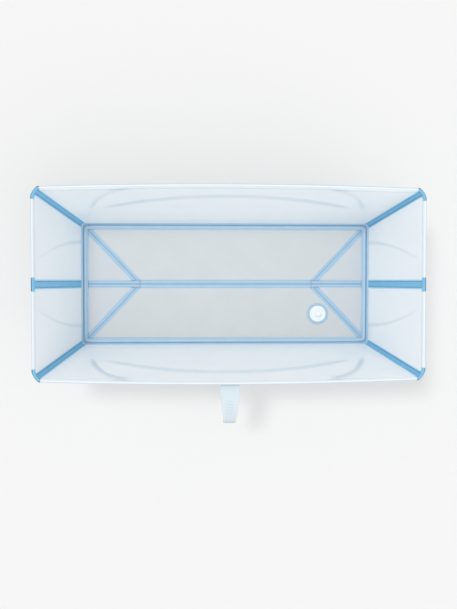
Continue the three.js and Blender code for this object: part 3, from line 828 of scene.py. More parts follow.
class Tub:
    """Places on the tub, worked out from the sizes"""

    def __init__(self):
        scene = bpy.context.scene
        self.sizes, self.rim = scene.tub_sizes, scene.tub_rim
        self.strips, self.arches = scene.tub_strips, scene.tub_arches
        self.strap, self.drain = scene.tub_strap, scene.tub_drain
        sizes, rim = self.sizes, self.rim
        self.height, self.sheet, self.gap = sizes.height, sizes.sheet, sizes.gap
        self.half_length, self.half_width = sizes.floor_length / 2, sizes.floor_width / 2
        self.flare_x = sizes.rim_length / 2 - rim.reach - self.sheet - self.half_length
        self.flare_y = sizes.rim_width / 2 - rim.reach - self.sheet - self.half_width
        self.band_foot = self.height - rim.band_foot
        self.band_top = self.band_foot + rim.band_blend
        self.band_start = self.band_foot - rim.band_lead
        self.arch_peak = self.height - self.arches.side_below
        self.half_step = self.arches.step_rows * self.arches.blend
        self.fold_start = self.half_length - self.strips.gusset
        self.diagonal_span = math.hypot(self.strips.gusset, self.half_width)

    def out_x(self, out, z, lean=1.0):
        return self.half_length + self.sheet + lean * self.flare_x * z / self.height + out

    def out_y(self, out, z, lean=1.0):
        return self.half_width + self.sheet + lean * self.flare_y * z / self.height + out

    def cap(self, z):
        """0 on the wall and 1 where the rubber caps have their full width"""
        return smooth((z - self.band_foot) / self.rim.band_blend)

    def side_arch(self, s):
        return self.arch_peak - self.arches.side_drop * s**2

    def side_flare(self, s):
        """Height of the line that sweeps up to the rim beside the arch"""
        arches = self.arches
        beyond = np.maximum(np.abs(s) - arches.flare_start, 0) / arches.flare_run
        return self.height - arches.flare_below - arches.flare_drop * beyond**2

    def end_arch(self, z):
        return spread(self.arches.end_foot, self.arches.end_top, (z / self.height) ** 2)

    def side_pressing(self, s, z):
        arches = self.arches
        below = smooth((self.side_arch(s) + arches.blend / 2 - z) / arches.blend)
        foot = smooth((z - self.strips.edge_reach) / arches.foot_fade)
        outside = smooth((z - self.side_flare(s) + arches.blend / 2) / arches.blend)
        outside = outside * smooth((np.abs(s) - arches.flare_start) / arches.flare_fade)
        from_end = (1 - np.abs(s)) * self.sizes.rim_length / 2
        below = below * smooth((arches.side_end - np.abs(s)) / arches.side_end_fade)
        pressed = arches.side_step * below + arches.flare_step * outside
        return -pressed * foot * smooth(from_end / arches.edge_fade)

    def end_pressing(self, y, z):
        arches = self.arches
        within = smooth((self.end_arch(z) + arches.blend / 2 - np.abs(y)) / arches.blend)
        foot = smooth((z - self.strips.edge_reach) / arches.foot_fade)
        return arches.end_step * within * foot * smooth((self.band_foot - z) / arches.rim_fade)

    def side_point(self, out, z, s, side, reach, cap, lean=1.0):
        drawn = reach + (self.rim.corner_reach_x - reach) * cap
        x = s * (self.out_x(0, z, lean) - drawn - self.gap / 2)
        bow = self.sizes.side_bow * (1 - s**2) * z / self.height * lean
        y = self.out_y(out, z, lean) + bow + self.side_pressing(s, z) * (1 - cap) * lean
        x, y, z = np.broadcast_arrays(x, side * y, z)
        return np.stack([x, y, z], axis=-1)

    def end_point(self, out, z, y, end, side, cap, lean=1.0):
        x = self.out_x(out, z, lean) + self.end_pressing(y, z) * (1 - cap) * lean
        x, y, z = np.broadcast_arrays(end * x, side * y, z)
        return np.stack([x, y, z], axis=-1)

    def diagonal_at(self, y, offset):
        """X on the diagonal fold line moved sideways, towards the gusset where offset is positive"""
        run = (self.half_width - y) * self.strips.gusset - offset * self.diagonal_span
        return self.half_length - run / self.half_width

    def diagonal_cross(self, x, offset):
        run = (self.half_length - x) * self.half_width + offset * self.diagonal_span
        return self.half_width - run / self.strips.gusset


class Section:
    """Points up a wall: both faces as [out, height], the tones, and how far each point leans"""

    def __init__(self, middle, half, tone=MIDDLE_TONE, lean=1.0):
        run = unit(np.gradient(middle, axis=0))
        side = np.stack([run[:, 1], -run[:, 0]], axis=1) * np.reshape(half, (-1, 1))
        self.inner, self.outer = middle - side, middle + side
        self.tone = np.broadcast_to(tone, len(middle)).astype(float)
        self.lean = np.broadcast_to(lean, len(middle)).astype(float)


# Points over the rim: the share of its reach, and how many slopes each lies under the crest
RIM_SHARES = ((0, 0.9), (0.16, 0.16), (0.36, 0), (0.66, 0.3), (0.9, 0.72), (1, 1.25))
# Tones over the rim: painted shade deepens its outer slope and lip
RIM_TONE, LIP_PAINTED_SHADE = 0.6, 1.0
LIP_START, LIP_RUN = 0.24, 0.24


def rim_section(tub, proud=0.0):
    """Over the rim: up the inside, over the crest, down the sloping top and the lip"""
    half = tub.sheet / 2 - tub.rim.proud / 4 + proud / 2
    crest = tub.height - half - tub.rim.proud + proud / 2
    tip = tub.rim.reach - half - tub.rim.proud + proud / 2
    inside = -tub.sheet / 2
    over = [(spread(inside, tip, out), crest - falls * tub.rim.slope) for out, falls in RIM_SHARES]
    foot, edge = (inside, tub.band_top), (tip, tub.height - tub.rim.drop)
    middle = spline([foot, *over, edge], RIM_ROWS)
    share = (middle[:, 0] - inside) / (tip - inside)
    return Section(middle, half, spread(RIM_TONE, LIP_PAINTED_SHADE, smooth((share - LIP_START) / LIP_RUN)))


def joined(grids):
    """Pairs of grids, each pair carried on by the next"""
    return tuple(np.concatenate(parts, axis=1) for parts in zip(*grids))


def rim_line(tub, z, below):
    """1 on the line where the lip shows through the wall, which is wider further down. It sets the
    groove there and the line's painted shade.
    """
    least, growth = 0.4, 70
    return bump(z - (tub.height - below), tub.rim.line_width * (least + growth * below))


def rim_tones(tub, z, below):
    """Painted shade in a dark line under the rim and a painted highlight in a bright band over it"""
    dark, bright, band_start = 0.5, 0.4, 0.2
    above = (z - (tub.height - below)) / tub.rim.line_width - band_start
    return dark * rim_line(tub, z, below) - bright * smooth(above)


# Tones of a long wall. Places along it are shares of its half length, heights are in metres,
# and the widths of the arch's and the sweep's tones are in widths of a step.
# Painted light and shade: the wall is lighter towards the top, with painted shade along the arch and the
# sweeps, deeper on the front wall, a painted highlight in the crescent between arch and sweep, and
# painted shade beyond the sweeps
WALL_FOOT_TONE, WALL_TOP_TONE = 0.50, 0.24
ARCH_TONE, ARCH_TONE_WIDTH, ARCH_TONE_STOP, ARCH_TONE_FADE = 0.48, 4.0, 0.84, 0.2
SWEEP_PAINTED_SHADES, SWEEP_TONE_WIDTH = {FRONT: 0.56, REAR: 0.36}, 6.5
SWEEP_TONE_START, SWEEP_TONE_FADE = 0.5, 0.08
SWEEP_TONE_FOOT, SWEEP_TONE_RISE = 0.09, 0.05
CRESCENT_PAINTED_HIGHLIGHT, CRESCENT_PLACE, CRESCENT_WIDTH, CRESCENT_BLEND = 0.3, 0.66, 0.4, 0.01
BEYOND_PAINTED_SHADE, BEYOND_RISE, BEYOND_STOP, BEYOND_FADE = 0.08, 0.02, 0.95, 0.3


def side_tone(tub, s, z, side, below):
    """Tones of a long wall, all painted light and shade: shade on the arch, the sweeps beside it and the
    line under the rim, a highlight on the crescent and over the line, and lighter towards the top
    """
    blend, from_middle = tub.arches.blend, np.abs(s)
    over_arch, over_sweep = z - tub.side_arch(s), z - tub.side_flare(s)
    arch = ARCH_TONE * bump(over_arch, ARCH_TONE_WIDTH * blend)
    arch = arch * smooth((ARCH_TONE_STOP - from_middle) / ARCH_TONE_FADE)
    sweep = SWEEP_PAINTED_SHADES[side] * bump(over_sweep, SWEEP_TONE_WIDTH * blend)
    sweep = sweep * smooth((from_middle - SWEEP_TONE_START) / SWEEP_TONE_FADE)
    sweep = sweep * smooth((z - SWEEP_TONE_FOOT) / SWEEP_TONE_RISE)
    crescent = CRESCENT_PAINTED_HIGHLIGHT * bump(from_middle - CRESCENT_PLACE, CRESCENT_WIDTH)
    crescent = crescent * smooth(over_arch / CRESCENT_BLEND) * smooth(-over_sweep / CRESCENT_BLEND)
    beyond = BEYOND_PAINTED_SHADE * smooth(over_sweep / BEYOND_RISE)
    beyond = beyond * smooth((BEYOND_STOP - from_middle) / BEYOND_FADE)
    base = spread(WALL_FOOT_TONE, WALL_TOP_TONE, z / tub.height)
    return np.clip(base + arch + sweep - crescent + beyond + rim_tones(tub, z, below), 0, 1)


def side_wall(tub, side):
    """A long wall: rows follow the arched step, then the rim"""
    s = np.linspace(-1, 1, SIDE_STATIONS)[:, None]
    arch, half = tub.side_arch(s), tub.half_step
    levels = [tub.sizes.panel_foot, arch - half, arch + half, tub.band_start, tub.band_top]
    rows = []
    for low, high, count in zip(levels, levels[1:], SIDE_ROWS):
        rows.append(spread(low, high, np.linspace(0, 1, count)[None, :-1]) + 0 * s)
    z = np.concatenate(rows, axis=1)
    reach = tub.strips.corner_reach
    cap = tub.cap(z)
    wall = [tub.side_point(out, z, s, side, reach, cap) for out in (-tub.sheet, 0.0)]
    below = tub.rim.rear_line if side == REAR else tub.rim.line
    wall = embossed(*wall, -tub.rim.line_depth * rim_line(tub, z, below))
    rim = rim_section(tub)
    faces = (rim.inner, rim.outer)
    over = [tub.side_point(face[:, 0], face[:, 1], s, side, reach, 1.0) for face in faces]
    inner, outer = joined([wall, over])
    tone = np.concatenate([side_tone(tub, s, z, side, below), rim.tone[None, :] + 0 * s], axis=1)
    return sheet(f"{SIDE_NAMES[side]}_wall_panel", inner, outer, finish("wall_plastic"), tone)


def wall_levels(tub, foot, count):
    """Heights up a wall, closer together where a cap widens"""
    lower = np.linspace(foot, tub.band_start, count)[:-1]
    return np.concatenate([lower, np.linspace(tub.band_start, tub.band_top, BAND_ROWS)[:-1]])


def over_rim(tub, z, rim):
    """Both faces up a wall and over its rim: how far out, how high, and where the cap is"""
    faces = []
    for out, face in ((-tub.sheet, rim.inner), (0.0, rim.outer)):
        outs = np.concatenate([np.full_like(z, out), face[:, 0]])
        faces.append((outs, np.concatenate([z, face[:, 1]])))
    return faces, np.concatenate([tub.cap(z), np.ones(len(rim.inner))])


# An end wall is painted lighter towards the top, with painted shade along its arch
END_FOOT_TONE, END_TOP_TONE = 0.52, 0.32
END_ARCH_TONE, END_ARCH_TONE_WIDTH, END_ARCH_TONE_FADE = 0.26, 1.8, 0.03
LEAST_CREASE_LIP = 0.5


def end_panel(tub, end, side):
    """One half of an end wall: columns follow the arch, from the crease to the corner"""
    z = wall_levels(tub, tub.sizes.panel_foot, LOWER_ROWS)[None, :]

    def columns(z, cap):
        crease = spread(tub.strips.crease, tub.rim.crease_cap, cap) + tub.gap / 2
        reach = spread(tub.strips.corner_reach, tub.rim.corner_reach_y, cap)
        corner = tub.out_y(0, z) - reach - tub.gap / 2
        arch = tub.end_arch(z)
        lines = [crease, arch - tub.half_step, arch + tub.half_step, corner]
        parts = []
        for near, far, count in zip(lines, lines[1:], END_COLUMNS):
            parts.append(spread(near, far, np.linspace(0, 1, count)[:-1, None]))
        return np.concatenate([*parts, np.broadcast_to(corner, parts[-1][-1:].shape)])

    cap = tub.cap(z)
    y = columns(z, cap)
    wall = [tub.end_point(out, z, y, end, side, cap) for out in (-tub.sheet, 0.0)]
    below = tub.rim.line
    wall = embossed(*wall, -tub.rim.line_depth * rim_line(tub, z, below) + 0 * y)
    tone = spread(END_FOOT_TONE, END_TOP_TONE, z / tub.height) + rim_tones(tub, z, below)
    arch_line = bump(y - tub.end_arch(z), END_ARCH_TONE_WIDTH * tub.arches.blend)
    arch_line = arch_line * smooth((tub.band_foot - z) / END_ARCH_TONE_FADE)
    tone = np.clip(tone + END_ARCH_TONE * arch_line, 0, 1)
    rim = rim_section(tub)
    over = []
    for face in (rim.inner, rim.outer):
        out, level = face[None, :, 0], face[None, :, 1]
        y = columns(level, 1.0)
        from_cap = (y - y[0]) / tub.rim.crease_cap
        drawn = np.where(out > 0, out * spread(LEAST_CREASE_LIP, 1, smooth(from_cap)), out)
        over.append(tub.end_point(drawn, level, y, end, side, 1.0))
    inner, outer = joined([wall, over])
    tone = np.concatenate([tone, rim.tone[None, :] + np.zeros((len(tone), 1))], axis=1)
    name = f"end_wall_panel_{quarter_name(end, side)}"
    return sheet(name, inner, outer, finish("wall_plastic"), tone)


STRIP_EDGE = Ridge(place=0.0006, width=0.0022, height=0.0003)
STRIP_GROOVE = Ridge(place=0.0023, width=0.0026, height=-0.00045)
STRIP_CROWN, STRIP_CROWN_START, STRIP_CROWN_RUN = 0.0003, 0.0032, 0.003
STRIP_SHADE = Ridge(place=0.0020, width=0.0034, height=0.32)
# Painted light and shade on the rubber caps
CAP_TONE, CAP_EDGE_PAINTED_SHADE, CAP_TONE_RANGE = 0.46, 1.0, 0.25
UNDER_CAP_TONE, UNDER_CAP_WIDTH, UNDER_CAP_DEPTH = 0.3, 0.016, 0.4
CAP_SQUARENESS = 0.38


def strip_relief(from_edge, from_other):
    """Height of a strip's face: a raised edge, a groove and a slight crown in the middle"""
    edge = np.minimum(from_edge, from_other)
    crown = STRIP_CROWN * smooth((edge - STRIP_CROWN_START) / STRIP_CROWN_RUN)
    return STRIP_EDGE.at(edge) + STRIP_GROOVE.at(edge) + crown


def strip_tone(from_edge, from_other):
    """Painted shade in the grooves beside the beads"""
    return MIDDLE_TONE + STRIP_SHADE.at(np.minimum(from_edge, from_other))


def cap_tone(tub, z, rim):
    """Painted light and shade on a cap: lighter on top, with painted shade on its lower edge outside and
    in a deeper zone under it inside
    """
    under = UNDER_CAP_TONE + Ridge(tub.band_foot, UNDER_CAP_WIDTH, UNDER_CAP_DEPTH).at(z)
    over = spread(CAP_TONE, CAP_EDGE_PAINTED_SHADE, smooth((rim.tone - RIM_TONE) / CAP_TONE_RANGE))
    return np.concatenate([under, over])


def corner_column(tub, out, z, lean, cap, columns, reach_x, reach_y, least):
    """Points round a corner, from the end wall's edge to the side wall's"""
    x0, y0 = tub.out_x(out, z, lean), tub.out_y(out, z, lean)
    strips, rim = tub.strips, tub.rim
    radius_x = np.maximum(spread(strips.corner_radius, rim.corner_round_x, cap) + out, least)
    radius_y = np.maximum(spread(strips.corner_radius, rim.corner_round_y, cap) + out, least)
    squareness = 1 + CAP_SQUARENESS * cap
    points = []
    for part, share in columns:
        if part == "end":
            edge = tub.out_y(0, z, lean) - reach_y + tub.gap / 2
            x, y = x0, spread(edge, y0 - radius_y, share)
        elif part == "turn":
            turn = share * math.pi / 2
            x = x0 - radius_x * (1 - max(math.cos(turn), 0) ** squareness)
            y = y0 - radius_y * (1 - max(math.sin(turn), 0) ** squareness)
        else:
            edge = tub.out_x(0, z, lean) - reach_x + tub.gap / 2
            x, y = spread(x0 - radius_x, edge, share), y0
        points.append(np.stack(np.broadcast_arrays(x, y, z), axis=-1))
    return np.array(points)


def corner_columns(straight, turns):
    """The points of a corner from edge to edge: a straight run, the turn, a straight run"""
    columns = [("end", share) for share in np.linspace(0, 1, straight)[:-1]]
    columns += [("turn", share) for share in np.linspace(0, 1, turns)]
    return columns + [("side", share) for share in np.linspace(0, 1, straight)[1:]]


def corner_strip(tub, end, side):
    """The strip up a wall corner, with its cap over the rim"""
    strips, rim = tub.strips, rim_section(tub, tub.rim.proud)
    z = wall_levels(tub, strips.edge_fillet + tub.sheet + tub.gap, CORNER_ROWS)
    faces, cap = over_rim(tub, z, rim)
    reach_x = spread(strips.corner_reach, tub.rim.corner_reach_x, cap)
    reach_y = spread(strips.corner_reach, tub.rim.corner_reach_y, cap)
    columns = corner_columns(CORNER_EDGE, CORNER_TURN)
    inner, outer = [
        corner_column(tub, out, level, 1.0, cap, columns, reach_x, reach_y, strips.boot_radius)
        for out, level in faces
    ]
    from_edge, from_other = across(inner)
    inner, outer = embossed(inner, outer, strip_relief(from_edge, from_other) * (1 - cap))
    tone = spread(strip_tone(from_edge, from_other), cap_tone(tub, z, rim)[None, :], cap)
    inner, outer = inner * [end, side, 1], outer * [end, side, 1]
    name = f"corner_strip_wall_{quarter_name(end, side)}"
    return sheet(name, inner, outer, finish("hinge_rubber"), tone)


def foot_section(tub, top):
    """From the floor, round the fillet, to the foot of the wall"""
    sheet_half, radius = tub.sheet / 2, tub.strips.edge_fillet
    start = -tub.sheet - tub.strips.edge_reach
    centre = -sheet_half - radius
    flat = [(out, sheet_half) for out in np.linspace(start, centre, FOOT_FLAT)[:-1]]
    turns = np.radians(np.linspace(-90, 0, FOOT_TURN))
    arc = [(centre + radius * math.cos(t), sheet_half + radius * (1 + math.sin(t))) for t in turns]
    rise = [(-sheet_half, z) for z in np.linspace(sheet_half + radius, top, FOOT_RISE)[1:]]
    middle = np.array(flat + arc + rise)
    lean = smooth((middle[:, 1] - sheet_half) / radius)
    return Section(middle, sheet_half, lean=lean)


def foot_relief(tub, section):
    """Along the floor edge: a raised band with a painted highlight, painted shade in the groove of the
    fold, a light foot
    """
    middle = (section.inner + section.outer) / 2
    step = np.linalg.norm(np.diff(middle, axis=0), axis=1)
    along = np.concatenate([[0], np.cumsum(step)])
    fold = tub.strips.edge_reach - 0.2 * tub.strips.edge_fillet
    band = fold - tub.strips.edge_band
    lift = Ridge(band, width=0.0068, height=0.0011).at(along)
    lift += Ridge(fold, width=0.0036, height=-0.0012).at(along)
    band_painted_highlight = Ridge(band, width=0.0072, height=-0.4).at(along)
    fold_painted_shade = Ridge(fold, width=0.0048, height=0.5).at(along)
    light, light_start, light_run = 0.5, 0.0015, 0.003
    light_foot = light * smooth((along - fold - light_start) / light_run)
    return lift, np.clip(MIDDLE_TONE + band_painted_highlight + fold_painted_shade - light_foot, 0, 1)


def side_edge_strip(tub, side):
    """The strip between a long wall and the floor"""
    section = foot_section(tub, tub.sizes.panel_foot - tub.gap)
    s = np.linspace(-1, 1, SIDE_EDGE_STATIONS)[:, None]
    reach, lean = tub.strips.boot_reach, section.lean[None, :]
    faces = [
        tub.side_point(face[:, 0], face[:, 1], s, side, reach, 0.0, lean)
        for face in (section.inner, section.outer)
    ]
    lift, tone = foot_relief(tub, section)
    inner, outer = embossed(*faces, np.broadcast_to(lift, faces[0].shape[:2]))
    name = f"floor_edge_strip_{SIDE_NAMES[side]}"
    return sheet(name, inner, outer, finish("floor_rubber"), tone[None, :], ROW_EDGES)


def end_edge_leaf(tub, end, side, leaf):
    """One leaf of the strip between a half end wall and its gusset, split at the fold"""
    section = foot_section(tub, tub.sizes.panel_foot - tub.gap)
    share = np.linspace(0, 1, END_EDGE_STATIONS)[:, None]
    faces = []
    for face in (section.inner, section.outer):
        z = face[None, :, 1]
        corner = tub.out_y(0, z, section.lean) - tub.strips.boot_reach - tub.gap / 2
        faces.append(tub.end_point(face[:, 0], z, corner * share, end, side, 0.0, section.lean))
    lift, tone = foot_relief(tub, section)
    inner, outer = embossed(*faces, np.broadcast_to(lift, faces[0].shape[:2]))
    split = int(np.argmin(lift))
    rows = slice(0, split + 1) if leaf == "floor" else slice(split, None)
    name = f"end_edge_{leaf}_leaf_{quarter_name(end, side)}"
    edges = (False, False, leaf == "floor", leaf == "wall")
    inner, outer, tone = inner[:, rows], outer[:, rows], tone[None, rows]
    return sheet(name, inner, outer, finish("floor_rubber"), tone, edges)


def corner_boot(tub, end, side):
    """The foot of a corner strip, where the floor edges meet"""
    section = foot_section(tub, tub.strips.edge_fillet + tub.sheet)
    reach = tub.strips.boot_reach
    middle_out = (section.inner[:, 0] + section.outer[:, 0]) / 2
    inward = -middle_out / (tub.sheet + tub.strips.edge_reach)
    edge_radius, middle_radius, middle, fade = 0.004, 0.0125, 0.45, 0.25
    least = spread(edge_radius, middle_radius, bump(inward - middle, 2 * middle))
    least = least * (1 - smooth((inward - (1 - fade)) / fade))
    least = np.maximum(least, tub.strips.boot_radius)
    columns, lean = corner_columns(CORNER_EDGE, BOOT_TURN), section.lean
    faces = []
    for face in (section.inner, section.outer):
        out, z = face[:, 0], face[:, 1]
        faces.append(corner_column(tub, out, z, lean, 0.0, columns, reach, reach, least))
    lift, tone = foot_relief(tub, section)
    inner, outer = embossed(*faces, np.broadcast_to(lift, faces[0].shape[:2]))
    inner, outer = inner * [end, side, 1], outer * [end, side, 1]
    name = f"corner_strip_boot_{quarter_name(end, side)}"
    return sheet(name, inner, outer, finish("floor_rubber"), tone[None, :], ROW_EDGES)


def crease_leaf(tub, end, side):
    """One leaf of the strip up the middle of an end wall, with its half of the cap"""
    rim = rim_section(tub, tub.rim.proud)
    z = wall_levels(tub, tub.sizes.panel_foot, CREASE_ROWS)
    faces, cap = over_rim(tub, z, rim)
    half = spread(tub.strips.crease, tub.rim.crease_cap, cap) - tub.gap / 2
    y = half * np.linspace(0, 1, CREASE_COLUMNS)[:, None]
    inner, outer = [tub.end_point(out, level, y, end, side, cap[None, :]) for out, level in faces]
    _, from_edge = across(inner)
    inner, outer = embossed(inner, outer, strip_relief(from_edge, from_edge) * (1 - cap))
    tone = spread(strip_tone(from_edge, from_edge), cap_tone(tub, z, rim)[None, :], cap)
    name = f"crease_leaf_{quarter_name(end, side)}"
    return sheet(name, inner, outer, finish("hinge_rubber"), tone, (False, True, True, True))


RIBBON_TONE, RIBBON_EDGE_RUN = 0.56, 0.003
RIBBON_EDGE_PAINTED_SHADE = Ridge(place=0.0006, width=0.0028, height=0.3)
RIBBON_BAND_PAINTED_HIGHLIGHT = Ridge(place=0.0035, width=0.004, height=-0.2)
RIBBON_FOLD_PAINTED_SHADE = Ridge(place=0, width=0.0026, height=0.4)
DIAGONAL_HOLLOW = Ridge(place=0, width=0.0084, height=0.0007)


def ribbon_relief(from_edge, from_other, rise=0.0008, groove=0.0012, width=0.0030):
    """Height and tone of a floor strip: raised faces with a groove along the fold; the tone is painted
    shade at the edges and in the groove and a painted highlight on a band inside each edge
    """
    edge = np.minimum(from_edge, from_other)
    middle = np.abs(from_edge - from_other) / 2
    lift = rise * smooth(edge / RIBBON_EDGE_RUN) - groove * bump(middle, width)
    tone = RIBBON_TONE + RIBBON_EDGE_PAINTED_SHADE.at(edge) + RIBBON_BAND_PAINTED_HIGHLIGHT.at(edge)
    return lift, np.clip(tone + RIBBON_FOLD_PAINTED_SHADE.at(middle), 0, 1)


def flat_faces(tub, grid):
    """Both faces of a sheet that lies on the ground"""
    low = np.concatenate([grid, np.zeros(grid.shape[:2] + (1,))], axis=2)
    return low, low + [0, 0, tub.sheet]


def ribbon(tub, name, left, right, cut=None):
    """A flat strip between two lines of the floor, with a raised face and a groove on its fold"""
    share = np.linspace(0, 1, 2 * RIBBON_MIDDLE + 1)[:, None, None]
    low, high = flat_faces(tub, spread(left[None], right[None], share))
    from_edge, from_other = across(high)
    if cut is not None:
        keep = slice(0, RIBBON_MIDDLE + 1) if cut == "left" else slice(RIBBON_MIDDLE, None)
        low, high = low[keep], high[keep]
        from_edge, from_other = from_edge[keep], from_other[keep]
    lift, tone = ribbon_relief(from_edge, from_other)
    high, low = embossed(high, low, lift)
    edges = (cut != "right", cut != "left", True, True)
    return sheet(name, high, low, finish("floor_rubber"), tone, edges)


def diagonal_strip(tub, end, side):
    """A strip along a diagonal fold, with ends cut to meet its neighbours"""
    strips = tub.strips
    edge_x = tub.half_length - strips.edge_reach - tub.gap
    edge_y = tub.half_width - strips.edge_reach - tub.gap
    near, far = strips.centre + tub.gap, strips.end_centre + tub.gap
    run = np.array([strips.gusset, tub.half_width]) / tub.diagonal_span
    offsets = np.linspace(-strips.diagonal, strips.diagonal, 2 * RIBBON_MIDDLE + 1)
    rows = []
    for offset in offsets:
        share = (offset + strips.diagonal) / (2 * strips.diagonal)
        start_y = spread(near, far, share)
        start = np.array([tub.diagonal_at(start_y, offset), start_y])
        by_side = np.array([tub.diagonal_at(edge_y, offset), edge_y])
        by_end = np.array([edge_x, tub.diagonal_cross(edge_x, offset)])
        stop = by_side if by_side @ run < by_end @ run else by_end
        rows.append(spread(start, stop, np.linspace(0, 1, FOLD_STATIONS)[:, None]))
    low, high = flat_faces(tub, np.array(rows) * [end, side])
    from_edge, from_other = across(high)
    lift, tone = ribbon_relief(from_edge, from_other, rise=0.0005, groove=0.0014, width=0.0076)
    hollow = DIAGONAL_HOLLOW.at((from_edge - from_other) / 2)
    high, low = embossed(high, low, lift, -hollow)
    name = f"diagonal_fold_{quarter_name(end, side)}"
    return sheet(name, high, low, finish("floor_rubber"), tone)


def centre_strip(tub):
    half, stop = tub.strips.centre, tub.fold_start - tub.gap / 2
    x = np.linspace(-stop, stop, CENTRE_STATIONS)
    left, right = (np.stack([x, np.full_like(x, y)], axis=1) for y in (-half, half))
    return ribbon(tub, "floor_centre_fold", left, right)


def end_centre_leaf(tub, end, side):
    half = tub.strips.end_centre
    start, stop = tub.fold_start + tub.gap / 2, tub.half_length - tub.strips.edge_reach - tub.gap
    x = end * np.linspace(start, stop, FOLD_STATIONS)
    left, right = (np.stack([x, np.full_like(x, y)], axis=1) for y in (-half, half))
    cut = "left" if side == FRONT else "right"
    return ribbon(tub, f"end_centre_leaf_{quarter_name(end, side)}", left, right, cut)


def in_quarter(points, end, side):
    """Points of the quarter where x and y are positive, placed in another, anticlockwise"""
    moved = [(end * x, side * y) for x, y in points]
    return moved[::-1] if end * side < 0 else moved


def floor_outline(tub, side):
    """Round a floor panel, anticlockwise"""
    strips = tub.strips
    edge = tub.half_width - strips.edge_reach - tub.gap
    centre = strips.centre + tub.gap
    offset = -(strips.diagonal + tub.gap)
    points = [
        (tub.diagonal_at(centre, offset), centre),
        (tub.diagonal_at(edge, offset), edge),
        (-tub.diagonal_at(edge, offset), edge),
        (-tub.diagonal_at(centre, offset), centre),
    ]
    return rounded_outline(in_quarter(points, 1, side), strips.plate_radius)


def gusset_outline(tub, end, side):
    """Round a gusset, anticlockwise"""
    strips = tub.strips
    edge = tub.half_length - strips.edge_reach - tub.gap
    centre = strips.end_centre + tub.gap
    offset = strips.diagonal + tub.gap
    points = [
        (tub.diagonal_at(centre, offset), centre),
        (edge, centre),
        (edge, tub.diagonal_cross(edge, offset)),
    ]
    return rounded_outline(in_quarter(points, end, side), strips.plate_radius)


def floor_panel(tub, side, hole=None):
    name = f"floor_plate_{SIDE_NAMES[side]}"
    return slab(name, floor_outline(tub, side), 0, tub.sheet, finish("floor_plastic"), hole)


def floor_gusset(tub, end, side):
    name = f"gusset_plate_{quarter_name(end, side)}"
    return slab(name, gusset_outline(tub, end, side), 0, tub.sheet, finish("gusset_plastic"))


def bead_levels(tub):
    """Heights along an upright bead, closer together where a cap widens"""
    lower = np.linspace(tub.strips.bead_foot, tub.band_foot, BEAD_ROWS)[:-1]
    return np.concatenate([lower, np.linspace(tub.band_foot, tub.band_top, BEAD_BAND_ROWS)])


def side_bead_paths(tub, side):
    """Both upright edges of a long wall, beside the joint with the strip"""
    z = bead_levels(tub)
    reach, cap = tub.strips.corner_reach + tub.strips.bead_shift, tub.cap(z)
    return [(tub.side_point(-tub.sheet, z, s, side, reach, cap), False) for s in (-1.0, 1.0)]


def end_bead_paths(tub, end, side):
    """Both upright edges of a half end wall, at the crease and at the corner"""
    z = bead_levels(tub)
    cap = tub.cap(z)
    crease = spread(tub.strips.crease, tub.rim.crease_cap, cap)
    corner_reach = tub.strips.corner_reach + tub.strips.bead_shift
    corner = tub.out_y(0, z) - spread(corner_reach, tub.rim.corner_reach_y, cap)
    return [(tub.end_point(-tub.sheet, z, y, end, side, cap), False) for y in (crease, corner)]


def floor_bead_paths(tub, outline):
    """Round a floor plate, on its upper edge"""
    grown_outline = shrunk(outline, -tub.gap / 2)
    sunk = 0.25 * tub.strips.floor_bead
    level = np.full(len(outline), tub.sheet - sunk)
    return [(np.column_stack([grown_outline, level]), True)]


def edge_bead(name, paths, radius, finish_name):
    path, material = drawn_path(name, paths), finish(finish_name)
    # The beads keep tone 0, the light colour: a painted highlight along each bead
    return grown(path, bead_tree(), Radius=radius, Sides=BEAD_SIDES, Material=material)


def wall_seat(tub, side, below_rim):
    """The middle of a long wall's outer face, some way below the rim, and how far it leans"""
    z = tub.height - below_rim
    y = float(tub.side_point(0, z, 0.0, side, 0, 0)[1])
    lean = math.atan2(tub.flare_y + tub.sizes.side_bow, tub.height)
    return Matrix.Translation(Vector((0, y, z))), lean


# The strap's hanging line: shares of its run and of its sag
STRAP_SHARES = ((0, 0), (0.06, 0.05), (0.24, 0.09), (0.5, 0.03), (0.74, -0.2), (0.91, -0.56), (1, -1))
STRAP_LENGTH_SHARE = 0.88
STRAP_TAPER = 1.2
STRAP_BORDER = Ridge(place=0.0022, width=0.0034, height=1)
BORDER_OVER, BORDER_UNDER, BORDER_PAINTED_HIGHLIGHT = 0.0006, 0.0003, 0.25
STRAP_BORDER_START, STRAP_BORDER_STOP, STRAP_BORDER_FADE = 0.1, 0.004, 0.016
STRAP_TIP_ROUND, STRAP_TIP_INSET = 0.004, 0.003
STRAP_TIP_PAINTED_SHADE = Ridge(place=0.011, width=0.024, height=0.5)
SLOT_LIP = Ridge(place=0.0018, width=0.0032, height=0.0007)
SLOT_RADIUS, SLOT_BLOCK = 0.0025, 0.006


def strap_line(tub):
    """The strap's hanging line, from its pin outwards and down: points and directions"""
    line = [(-tub.strap.run * out, tub.strap.sag * rise) for out, rise in STRAP_SHARES]
    points = spline(line, STRAP_STATIONS)
    return points, unit(np.gradient(points, axis=0))


def strap_pin(tub):
    """Where the strap's root bar lies, on the front wall under the rim"""
    seat, lean = wall_seat(tub, FRONT, tub.strap.below_rim)
    wall = seat @ Matrix.Rotation(lean, 4, "X")
    return wall, wall @ Vector((0, -tub.strap.outset, 0))


